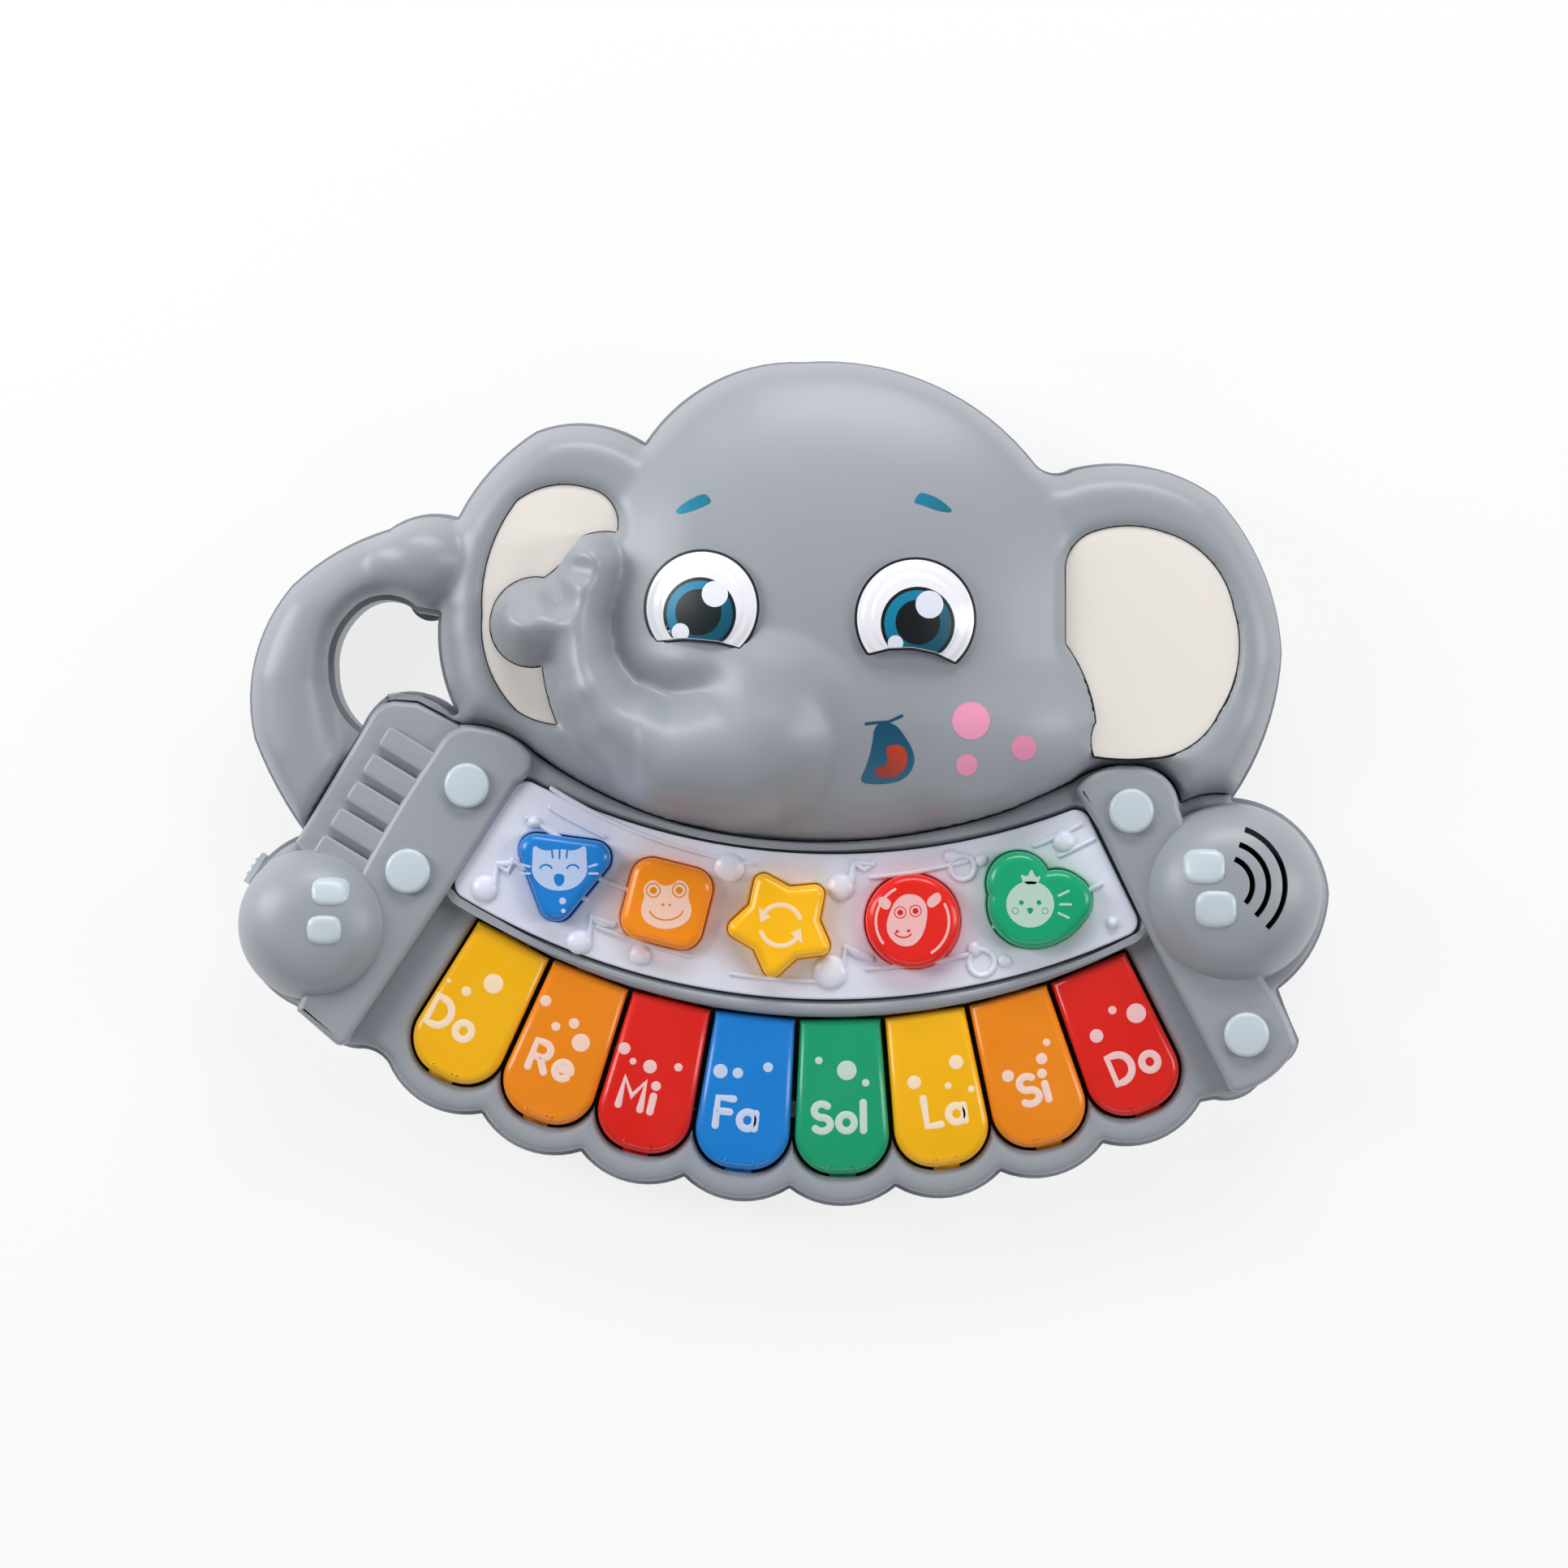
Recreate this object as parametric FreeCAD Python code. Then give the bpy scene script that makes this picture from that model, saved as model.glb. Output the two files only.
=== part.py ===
"""Elephant-shaped toy keyboard lying on its back: keys, lit buttons, speaker, batteries and shells.

Millimetres, +Z up out of the toy's face, +X to its right, +Y to the top of its head.
The origin is under the middle of the toy, on the surface it lies on.
"""
import FreeCAD, Part
import math
import os
from FreeCAD import Vector as V

# ---------------------------------------------------------------- overall sizes
toy_width = 290.0            # X size; every outline below is drawn for DRAWN_WIDTH
DRAWN_WIDTH = 290.0
plan = toy_width / DRAWN_WIDTH
foot_height = 1.5
parting_height = 16.0        # where the rear shell meets the front shells
rim_height = 22.5            # scalloped rim round the keys
band_height = 26.5           # band round the music panel
neck_height = 27.5
fret_rise = 1.8
strap_height = 30.0
face_rise = 30.0             # middle of the forehead above the shell's outer edge
head_edge_height = 22.0
trunk_height = 55.0
ear_height = 34.0
handle_height = 31.0

# ---------------------------------------------------------------- walls and fits
shell_wall = 2.2
top_wall = 2.4
shell_step = 1.3             # front shells stand in from the rear shell's edge
shell_gap = 0.3              # between the two front shells
seat_gap = 0.1               # a piece lying on its seat
fit_gap = 0.3                # a fixed piece in its pocket
slide_gap = 0.35             # a button in the panel
pivot_gap = 0.1              # key trunnions in their ears, on the radius
screw_gap = 0.1

# ---------------------------------------------------------------- key fan
fan_centre = (12.0, 114.0)
key_count = 8
key_pitch = 7.3
first_key_angle = -28.3
key_gap = 1.3
key_tip_radius = 216.0
key_tip_bulge = 1.2          # how far the middle of a key's tip stands out
key_root_radius = 176.3
key_round = 10.5             # rounding of a key's two front corners
key_top = 24.5
key_bottom = 14.0
key_wall = 1.8
well_gap = 0.9
tab_width = 7.0
tab_length = 1.8
tab_low = 17.5
tab_high = 20.5
pivot_radius = 170.0         # distance of the pivot line from the fan centre
pivot_height = 16.5
trunnion_radius = 1.6
trunnion_length = 2.6
barrel_radius = 2.3
neck_half_width = 4.0
ear_thickness = 2.2
ear_radius = 2.6
carrier_depth = 9.0
carrier_base = 3.0
band_front_radius = 175.5
band_reach = 1.5             # past the end keys' middles to the straps, in key pitches
band_undercut = 9.0          # room for the keys' necks below the band's front edge
rim_bump_radius = 226.3
rim_valley_radius = 221.8
dome_radial_place = 195.0

# ---------------------------------------------------------------- boards and domes
floor_top = 4.0
plinth_inset = 2.5
plinth_height = 1.5
board_thickness = 1.6
key_board_height = 8.0
key_board_depth = 20.0
key_board_screw_out = 6.0    # its screws stand this far out from the domes' line
key_board_screw_side = 6.5   # and the two end ones this far beside their keys' middle
button_board_height = 11.0
dome_height = 3.0
dome_base_radius = 4.5
dome_top_radius = 2.4
plunger_gap = 0.15
plunger_radius = 2.2
led_radius = 1.5
led_height = 3.6
led_offset = 6.2
pillar_radius = 3.0
board_screw_radius = 1.1
board_screw_head = 2.2

# ---------------------------------------------------------------- panel and buttons
panel_thickness = 2.6
panel_ledge = 3.0
panel_seat_height = 24.4
panel_corner = 4.0
button_top = 33.0
button_wall = 2.0
button_flange = 1.4
button_flange_thickness = 2.0
button_flange_low = 21.5
relief_height = 1.2

# ---------------------------------------------------------------- trims
cap_radius = 5.9
cap_rise = 2.6
cap_stem_radius = 2.4
cap_stem_length = 6.0
insert_thickness = 3.0
insert_pad_height = 28.4
insert_pad_thickness = 2.4
eye_dish = 2.4               # how far the eye bulges at its middle
eye_depth = 3.0
socket_rise = 12.0           # how far an eye's socket is cut out over its middle
nail_depth = 1.5
nail_rise = 0.8
right_fist_radius = 24.0
right_fist_rise = 18.0
left_fist_radius = 20.2
left_fist_rise = 16.5
slot_width = 1.5

# ---------------------------------------------------------------- inside the shells
cell_diameter = 14.5
cell_length = 50.5
cell_count = 3
cell_gap = 0.9               # between two cells side by side
cell_pitch = cell_diameter + cell_gap
cell_end_room = 5.0
battery_centre = (12.0, 62.0)
bay_wall = 1.6
door_thickness = 2.2
door_margin = 5.0
contact_thickness = 0.5
speaker_radius = 18.0
speaker_depth = 9.0
speaker_seat_height = 27.0
magnet_radius = 9.0
magnet_thickness = 5.0
screw_head_radius = 2.8
screw_head_height = 2.2
screw_radius = 1.4
screw_length = 12.0
boss_radius = 4.2
screw_seat_height = 9.0
switch_travel = 4.0
knob_length = 9.0
knob_height = 5.0
knob_rise = 1.5
switch_middle_height = 9.5
lever_half = 2.5             # half length of the lever under the knob
lever_depth = 4.8
switch_body_depth = 9.5
switch_body_half = 7.0
switch_body_height = 7.0
main_board_centre = (92.0, 38.0)
main_board_size = (44.0, 34.0)
main_board_height = 7.0

# ---------------------------------------------------------------- outlines, drawn as runs
# A run of two numbers is a straight line to a point, one of four an arc through the first point.
HEAD_RUNS = ((-22, 105.5, 5, 112.4), (42, 105.4, 67, 85), (70.5, 83, 76, 84))
RIGHT_EAR_RUNS = ((97, 84.5, 115, 76.5), (127.5, 57, 132.4, 35), (129, 16, 119.5, -3.5))
RIGHT_FIST_RUNS = ((138, -12.7, 145, -29), (142, -41.5, 131.5, -54.5))
RIGHT_STRAP_END = ((134, -61.2, 137, -68), (136, -71.2, 132, -74.8), (124, -82),
                   (119.5, -84, 114.3, -83.9))
LEFT_STRAP_END = ((-108, -71.6, -112, -70.3), (-117, -69.6, -121, -67), (-130, -59))
LEFT_FIST_RUNS = ((-140.5, -50, -144.6, -36), (-140.5, -23, -127.5, -13))
HANDLE_RUNS = ((-134.5, -2, -141, 12), (-141.5, 31, -131, 53), (-119, 62, -105, 68),
               (-96, 71.8, -86.8, 71.2))
LEFT_EAR_RUNS = ((-79, 82.8, -66, 94), (-51, 96, -37, 91))
HANDLE_HOLE = ((-119.7, 30), (-118.3, 39.5, -114, 45.5), (-107, 49, -98, 46), (-92, 45),
               (-91.7, 33, -87.5, 19.5), (-97, 24.6, -106, 23.4), (-110, 19.5, -112.5, 15),
               (-117.5, 21, -119.7, 30))
# Upper edge of the keyboard frame, which is the lower edge of the head, from left to right.
CHIN_LINE = ((-160, -14), (-128.6, -14), (-110, 17), (-107.5, 20.6, -103, 22.3),
             (-97, 21.8), (-85.5, 15.8), (-75.5, 14.2, -66, 8), (-39.5, -6.5, -10, -14),
             (26, -14.4, 60, -6.7), (76.3, 0.6), (88, 5, 97.5, 4),
             (102.5, 0.5, 105, -5), (112, -2.7, 119.5, -3.1), (160, -3.1))
NECK_PLATE = ((-129.3, -15.5), (-110, 16.7), (-107.3, 20.2, -103, 21.9), (-97, 21.4),
              (-85, 15), (-95, -5), (-118, -30), (-129.3, -15.5))
LEFT_STRAP = ((-128.5, -59.5), (-111.5, -23, -91, 10.5), (-86.5, 14.6, -80, 14.8),
              (-72.5, 12.6, -66.6, 7.6), (-66.9, 3.5, -70.5, 0.2), (-90.5, -31),
              (-114.5, -66.5), (-116, -68.6, -118.5, -68.2), (-128.5, -59.5))
RIGHT_STRAP = ((76.6, -1.5), (82, 3.2, 91, 4.7), (99, 2.9, 104, -6.2), (112.5, -30),
               (128.5, -54.5), (132.5, -61.5, 135, -68.5), (129, -76.5, 120, -81),
               (118, -80.8, 117, -79.3), (97, -41.5), (83, -12), (79.5, -6.5), (76.6, -1.5))
LEFT_INSERT = ((-43.9, 66), (-45.2, 74, -51.5, 78), (-59.7, 78.9, -70.5, 74.6),
               (-77.6, 61, -79.6, 44.5), (-77.6, 30, -70.5, 19.3), (-65.5, 16.7, -59.5, 15.6),
               (-62.3, 24, -63.5, 31.3), (-74, 34, -77.2, 42), (-74, 50.5, -63, 54.2),
               (-58.5, 58, -53, 65), (-48, 66.3, -43.9, 66))
RIGHT_INSERT = ((73.7, 57.4), (73.7, 36.9), (79.4, 26.4, 81.7, 16.5), (80.4, 11.6, 81.3, 7.2),
                (88.5, 6.5, 96.5, 6.8), (107.5, 10.4, 114.4, 18.8), (119.6, 33.6, 118.2, 46.5),
                (112.4, 58.6, 100, 66.4), (90, 68.1, 81.3, 66.6), (76, 63, 73.7, 57.4))
HEART = ((69.3, -22.8), (65.5, -18.6, 61, -17.7), (54.6, -21.5, 53.8, -29),
         (55.5, -38, 61.5, -42.6), (71, -42, 78.5, -36), (80.9, -30, 77.5, -24.6),
         (73.5, -22.6, 69.3, -22.8))
PANEL = ((-69.6, 2.1), (4.5, -18.2, 78.8, -5.6), (94.6, -38), (4, -56.6, -88.6, -27.6),
         (-69.6, 2.1))
# Speaker slots through the right fist: start, middle, end.
SPEAKER_SLOTS = (((117.5, -19.5), (122, -25), (120.3, -31)),
                 ((118.8, -15.7), (126.3, -25), (123, -34.3)),
                 ((120.5, -11.8), (130.7, -25), (126, -37.5)))
STRAP_CAPS = ((-83.5, -0.3), (-99, -22.8), (91.2, -7), (121.5, -65.8))
# Nails: fist, centre, half length, half width, turn in degrees.
NAILS = (("left", (-119, -28), 4.9, 3.8, 0), ("left", (-120.5, -38), 4.6, 4.0, 0),
         ("right", (109.6, -21.4), 5.4, 4.4, 0), ("right", (112.6, -32.5), 5.5, 4.6, 0))
LEFT_FIST = (-124.3, -37.0)
RIGHT_FIST = (118.2, -29.0)
LEFT_EYE = (-21.7, 46.5, 14.6)
RIGHT_EYE = (34.0, 43.0, 15.5)
# Head-coloured lower lids, which cut the eyes off below.
LEFT_LID = ((-45, 36.6), (-31.5, 37.1), (-21.3, 37.1, -13.1, 35.5), (0, 31.5), (0, 20),
            (-45, 20), (-45, 36.6))
RIGHT_LID = ((10, 31.8), (22.5, 33.7), (33, 35, 43.8, 31.6), (58, 26), (58, 15), (10, 15),
             (10, 31.8))
EYES = ((LEFT_EYE, LEFT_LID), (RIGHT_EYE, RIGHT_LID))
PANEL_BALLS = ((-66, -10, 1.8), (-38, -45, 2.8), (-14.5, -22, 3.6), (73.7, -15, 3.0),
               (86.5, -36.5, 1.7), (-79, -27.5, 3.0), (-54, -41.5, 3.2), (15, -27, 3.2),
               (12, -49.5, 3.6), (44, -19, 1.8), (52, -19.5, 1.6), (50, -43.5, 1.8))
FOOT_PLACES = ((-95, 50), (100, 62), (-112, -48), (118, -55))
FOOT_RADIUS = 6.0
# Housing screws: the first three hold the keyboard frame, the others the head.
FRAME_SCREWS = ((-106, -38), (127, -62), (-97, -2))
HEAD_SCREWS = ((12, 101), (-62, 84), (108, 64), (100, 14), (-14, 12))
BUTTON_BOARD_SCREWS = ((-72, -14), (-10, -32), (18, -33), (80, -22))
NAMES = ("do_low", "re", "mi", "fa", "sol", "la", "si", "do_high")


# ---------------------------------------------------------------- drawing helpers
def at(x, y, z=0.0):
    """A drawn point at the toy's real size."""
    return V(x * plan, y * plan, z)


def wire(start, runs):
    edges = []
    here = at(*start)
    for run in runs:
        there = at(*run[-2:])
        if len(run) == 4:
            edges.append(Part.Arc(here, at(*run[:2]), there).toShape())
        else:
            edges.append(Part.LineSegment(here, there).toShape())
        here = there
    return Part.Wire(edges)


def area(outline):
    """The flat face inside a closed outline."""
    return Part.Face(wire(outline[0], outline[1:]))


def grown(face, by):
    return face.makeOffset2D(by)


def prism(face, low, high):
    solid = face.extrude(V(0, 0, high - low))
    solid.translate(V(0, 0, low))
    return solid


def disc(x, y, radius, low, high):
    return Part.makeCylinder(radius, high - low, at(x, y, low))


def block(centre, size, low, high):
    corner = at(*centre) - V(size[0] / 2, size[1] / 2, 0)
    return Part.makeBox(size[0], size[1], high - low, V(corner.x, corner.y, low))


def polygon(points):
    corners = list(points) + [points[0]]
    return Part.Face(Part.makePolygon(corners))


def joined(shapes):
    first = shapes[0]
    return first.fuse(list(shapes[1:])) if len(shapes) > 1 else first


def less(shape, *tools):
    return shape.cut(list(tools))


def save(name, *shapes):
    """Write one node; several shapes stay separate solids in it."""
    solids = [solid for shape in shapes for solid in shape.Solids]
    body = solids[0] if len(solids) == 1 else Part.makeCompound(solids)
    body.exportStep("parts/" + name + ".step")


# ---------------------------------------------------------------- the key fan
def fan_angle(index):
    return math.radians(first_key_angle + key_pitch * index)


def fan_point(index, radius, side=0.0, z=0.0):
    """A point at a drawn radius along a key's middle line and a real distance to its right."""
    turn = fan_angle(index)
    middle = at(fan_centre[0] + radius * math.sin(turn), fan_centre[1] - radius * math.cos(turn))
    return middle + V(side * math.cos(turn), side * math.sin(turn), z)


def half_width(radius, gap):
    half_pitch = math.radians(key_pitch / 2)
    return radius * plan * math.tan(half_pitch) - gap / 2 / math.cos(half_pitch)


def key_block(index, root, low, high, spread=0.0):
    """A key's plan shape as a block, grown all round by spread, with its tip rounded."""
    tip = key_tip_radius + spread / plan
    wide = half_width(tip, key_gap) + spread
    narrow = half_width(root, key_gap) + spread
    left, right = fan_point(index, tip, -wide), fan_point(index, tip, wide)
    bulge = fan_point(index, tip + key_tip_bulge, 0.0)
    edges = [Part.LineSegment(fan_point(index, root, -narrow), left).toShape(),
             Part.Arc(left, bulge, right).toShape(),
             Part.LineSegment(right, fan_point(index, root, narrow)).toShape(),
             Part.LineSegment(fan_point(index, root, narrow),
                              fan_point(index, root, -narrow)).toShape()]
    solid = prism(Part.Face(Part.Wire(edges)), low, high)
    ends = [e for e in solid.Edges if abs(e.tangentAt(e.FirstParameter).z) > 0.9
            and min((e.Vertexes[0].Point - corner).Length for corner in
                    (left + V(0, 0, low), right + V(0, 0, low),
                     left + V(0, 0, high), right + V(0, 0, high))) < 0.01]
    return solid.makeFillet((key_round + spread), ends)


def fan_strip(inner, outer, before, after):
    """A curved strip across the fan, from half a pitch (before) ahead of it to one after it."""
    first = -before
    last = key_count - 1 + after
    middle = (first + last) / 2
    edges = [Part.Arc(fan_point(first, inner), fan_point(middle, inner),
                      fan_point(last, inner)).toShape(),
             Part.LineSegment(fan_point(last, inner), fan_point(last, outer)).toShape(),
             Part.Arc(fan_point(last, outer), fan_point(middle, outer),
                      fan_point(first, outer)).toShape(),
             Part.LineSegment(fan_point(first, outer), fan_point(first, inner)).toShape()]
    return Part.Face(Part.Wire(edges))


def fan_block(index, inner, outer, half, low, high):
    """A block lying along a key, half as wide either side of its middle line."""
    corners = [fan_point(index, inner, -half), fan_point(index, outer, -half),
               fan_point(index, outer, half), fan_point(index, inner, half)]
    return prism(polygon(corners), low, high)


def cross_rod(index, radius, start, end, height):
    """A round bar across a key at its pivot line."""
    turn = fan_angle(index)
    base = fan_point(index, pivot_radius, start, height)
    return Part.makeCylinder(radius, end - start, base, V(math.cos(turn), math.sin(turn), 0))


# ---------------------------------------------------------------- plan shapes
def rim_runs():
    """The scalloped lower edge, from the right end to the left."""
    runs = []
    for index in range(key_count - 1, -1, -1):
        bump = fan_point(index, rim_bump_radius)
        valley = fan_point(index - 0.5, rim_valley_radius)
        runs.append((bump.x / plan, bump.y / plan, valley.x / plan, valley.y / plan))
    return tuple(runs)


def rim_end():
    corner = fan_point(key_count - 0.5, rim_valley_radius)
    return ((corner.x / plan, corner.y / plan),)


def outer_face():
    """The whole toy seen from the front: the rear shell's outer edge."""
    start = LEFT_EAR_RUNS[-1][-2:]
    runs = (HEAD_RUNS + RIGHT_EAR_RUNS + RIGHT_FIST_RUNS + RIGHT_STRAP_END + rim_end()
            + rim_runs() + LEFT_STRAP_END + LEFT_FIST_RUNS + HANDLE_RUNS + LEFT_EAR_RUNS)
    return Part.Face(wire(start, runs))


def lower_face():
    """Everything below the chin line, out past the toy's edges."""
    below = ((160, -140), (-160, -140), CHIN_LINE[0])
    return Part.Face(wire(CHIN_LINE[0], CHIN_LINE[1:] + below))


def square_button():
    centre = at(-31, -31.4)
    half = 5.4 * plan
    corners = []
    for step in range(4):
        turn = math.radians(45 + 90 * step - 14)
        reach = half * math.sqrt(2)
        corners.append(centre + V(reach * math.cos(turn), reach * math.sin(turn), 0))
    return grown(polygon(corners), 5.5 * plan)


def triangle_button():
    corners = [at(-65.3, -17.3), at(-50.2, -19.3), at(-60, -31.5)]
    return grown(polygon(corners), 4.5 * plan)


def star_button():
    tips = 5
    corners = []
    for step in range(2 * tips):
        turn = math.radians(114 + 180 / tips * step)
        reach = (11.6 if step % 2 == 0 else 7.2) * plan
        corners.append(at(-0.7, -36.7) + V(reach * math.cos(turn), reach * math.sin(turn), 0))
    return grown(polygon(corners), 2.6 * plan)


def round_button():
    return Part.Face(Part.Wire(Part.Circle(at(33.8, -36), V(0, 0, 1), 12.4 * plan).toShape()))


# Buttons: name, outline, middle of the stem.
BUTTONS = (("blue", triangle_button, (-58.5, -22)), ("orange", square_button, (-31, -31.4)),
           ("yellow", star_button, (-0.7, -36.7)), ("red", round_button, (33.8, -36)),
           ("green", lambda: area(HEART), (65.5, -30.5)))


# ---------------------------------------------------------------- height of the head
def cap_height(x, y, centre, reach, top, base, power):
    """An oval cap: base outside its edge, top at its middle."""
    share = ((x - centre[0]) / reach[0]) ** 2 + ((y - centre[1]) / reach[1]) ** 2
    return base if share >= 1 else base + (top - base) * (1 - share) ** power


def tube_height(x, y, spine, base):
    """A bent tube lying on the shell: spine points carry x, y, half width and top height."""
    best = base
    for (ax, ay, ar, at_top), (bx, by, br, b_top) in zip(spine, spine[1:]):
        dx, dy = bx - ax, by - ay
        share = ((x - ax) * dx + (y - ay) * dy) / (dx * dx + dy * dy)
        share = min(1.0, max(0.0, share))
        away = math.hypot(x - ax - share * dx, y - ay - share * dy)
        reach = ar + share * (br - ar)
        top = at_top + share * (b_top - at_top)
        if away < reach:
            best = max(best, base + (top - base) * math.sqrt(1 - (away / reach) ** 2))
    return best


def head_height(x, y):
    """Height of the head shell's outer surface over a drawn point."""
    low = head_edge_height
    top = low + face_rise
    upper = 68 if y > 46 else 62.5
    face = cap_height(x, y, (14, 46), (69, upper), top, low, 0.5)
    cheek = cap_height(x, y, (50, 17), (33, 31), low + 0.8 * face_rise, low, 0.45)
    left_ear = cap_height(x, y, (-62, 53), (30, 45), ear_height, low, 0.22)
    right_ear = cap_height(x, y, (88, 40.5), (44, 45), ear_height, low, 0.22)
    trunk = tube_height(x, y, ((-14, 14, 31, trunk_height), (-30, 12, 27, trunk_height),
                               (-44, 16, 20, trunk_height), (-51, 26, 13, trunk_height - 1),
                               (-53, 38, 10, trunk_height - 2), (-58, 50, 14, trunk_height - 3)),
                        low)
    lobe = cap_height(x, y, (-69, 43), (9.5, 9.5), trunk_height - 6, low, 0.5)
    handle = tube_height(x, y, ((-84, 58, 10, handle_height), (-97, 59, 12, handle_height),
                                (-112, 55, 9, handle_height), (-125, 45, 11, handle_height),
                                (-131.5, 28, 11, handle_height), (-130, 10, 12, handle_height - 1),
                                (-122, -8, 13, handle_height - 3)), low)
    return max(face, cheek, left_ear, right_ear, trunk, lobe, handle)


def head_surface(drop, spacing=4.0):
    """A smooth sheet over the head, dropped by a wall's thickness, as the solid below it."""
    low_x, high_x, low_y, high_y = -156.0, 148.0, -28.0, 128.0
    count_x = int((high_x - low_x) / spacing) + 1
    count_y = int((high_y - low_y) / spacing) + 1
    poles = []
    for i in range(count_x):
        x = low_x + i * spacing
        column = []
        for j in range(count_y):
            y = low_y + j * spacing
            column.append(at(x, y, head_height(x, y) - drop))
        poles.append(column)
    surface = Part.BSplineSurface()
    u_knots, u_counts = even_knots(count_x)
    v_knots, v_counts = even_knots(count_y)
    surface.buildFromPolesMultsKnots(poles, u_counts, v_counts, u_knots, v_knots,
                                     False, False, 3, 3)
    return surface.toShape().extrude(V(0, 0, -2 * trunk_height))


def even_knots(poles):
    spans = poles - 3
    return [float(k) for k in range(spans + 1)], [4] + [1] * (spans - 1) + [4]


def surface_frame(x, y):
    """A point on the head's outer surface and the direction straight out of it."""
    reach = 8.0
    slope_x = (head_height(x + reach, y) - head_height(x - reach, y)) / (2 * reach * plan)
    slope_y = (head_height(x, y + reach) - head_height(x, y - reach)) / (2 * reach * plan)
    out = V(-slope_x, -slope_y, 1)
    out.normalize()
    return at(x, y, head_height(x, y)), out


# ---------------------------------------------------------------- housing screws
def screw_boss(place):
    x, y = place
    return disc(x, y, boss_radius, floor_top - 0.5, parting_height)


def screw_path(place):
    """Room for a housing screw, its head and the driver, from behind."""
    x, y = place
    head = disc(x, y, screw_head_radius + fit_gap, -1, screw_seat_height)
    shank = disc(x, y, screw_radius + fit_gap, screw_seat_height - 1, parting_height + 1)
    return head.fuse(shank)


def front_post(place, top):
    x, y = place
    post = disc(x, y, boss_radius - 0.5, parting_height + seat_gap, top)
    reach = screw_seat_height + screw_length + 1
    return post, disc(x, y, screw_radius + screw_gap, parting_height - 1, reach)


def screw(x, y, seat, length, radius, head_radius, head_height):
    """A pan-head screw put in from below, head under its seat."""
    head = disc(x, y, head_radius, seat - head_height, seat)
    head = head.makeFillet(0.35 * head_height, [head.Edges[2]])
    shank = disc(x, y, radius, seat, seat + length)
    slot = block((x, y), (head_radius * 1.3, 0.7), seat - head_height, seat - 0.55 * head_height)
    cross = block((x, y), (0.7, head_radius * 1.3), seat - head_height, seat - 0.55 * head_height)
    return less(head.fuse(shank), slot, cross)


def board_screw(x, y, board_top, length=6.0):
    """A small pan-head screw put in from above."""
    head = disc(x, y, board_screw_head, board_top, board_top + 1.3)
    shank = disc(x, y, board_screw_radius, board_top - length, board_top)
    slot = block((x, y), (2.8, 0.6), board_top + 0.6, board_top + 1.3)
    return less(head.fuse(shank), slot)


def pillar(x, y, top):
    post = disc(x, y, pillar_radius, floor_top - 0.5, top)
    bore = disc(x, y, board_screw_radius + screw_gap, top - 5.5, top + 1)
    return post, bore


def key_board_screws():
    places = []
    middle = (key_count - 1) / 2
    radius = dome_radial_place + key_board_screw_out / plan
    for index in (0, middle, key_count - 1):
        side = 0 if index == middle else key_board_screw_side
        spot = fan_point(index, radius, side)
        places.append((spot.x / plan, spot.y / plan))
    return places


def carrier_screws():
    places = []
    for index in (0.5, 3.5, 6.5):
        spot = fan_point(index, pivot_radius)
        places.append((spot.x / plan, spot.y / plan))
    return places


def main_board_screws():
    dx = main_board_size[0] / 2 - 4
    dy = main_board_size[1] / 2 - 4
    x, y = main_board_centre
    return [(x - dx / plan, y - dy / plan), (x + dx / plan, y + dy / plan)]


# ---------------------------------------------------------------- power switch place
def switch_frame():
    """Middle of the switch on the shell's outer face, the way out, and the way along."""
    start = at(*LEFT_FIST_RUNS[0][-2:])
    middle = at(*LEFT_FIST_RUNS[1][:2])
    end = at(*LEFT_FIST_RUNS[1][-2:])
    circle = Part.Arc(start, middle, end).toShape().Curve
    out = middle - circle.Center
    out.normalize()
    return middle, out, V(-out.y, out.x, 0)


def switch_block(depth, along, low, high):
    """A block by the switch: depth and along are (from, to) in the switch's own directions."""
    middle, out, way = switch_frame()
    corners = [middle + out * depth[0] + way * along[0], middle + out * depth[1] + way * along[0],
               middle + out * depth[1] + way * along[1], middle + out * depth[0] + way * along[1]]
    return prism(polygon(corners), low, high)


def switch_slot(depth_from, depth_to):
    reach = lever_half + switch_travel / 2 + fit_gap
    half = knob_height / 2 - 1 + fit_gap
    return switch_block((depth_from, depth_to), (-reach, reach),
                        switch_middle_height - half, switch_middle_height + half)


# ---------------------------------------------------------------- rear shell and what it holds
def battery_bay_size():
    return (cell_length + 2 * cell_end_room, cell_count * cell_pitch + 1.0)


def door_size():
    wide, high = battery_bay_size()
    return (wide + 2 * door_margin, high + 2 * door_margin - 4)


def door_low():
    return foot_height


def door_screw_place():
    x, y = battery_centre
    return (x + (door_size()[0] / 2 - 3.6) / plan, y)


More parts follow.
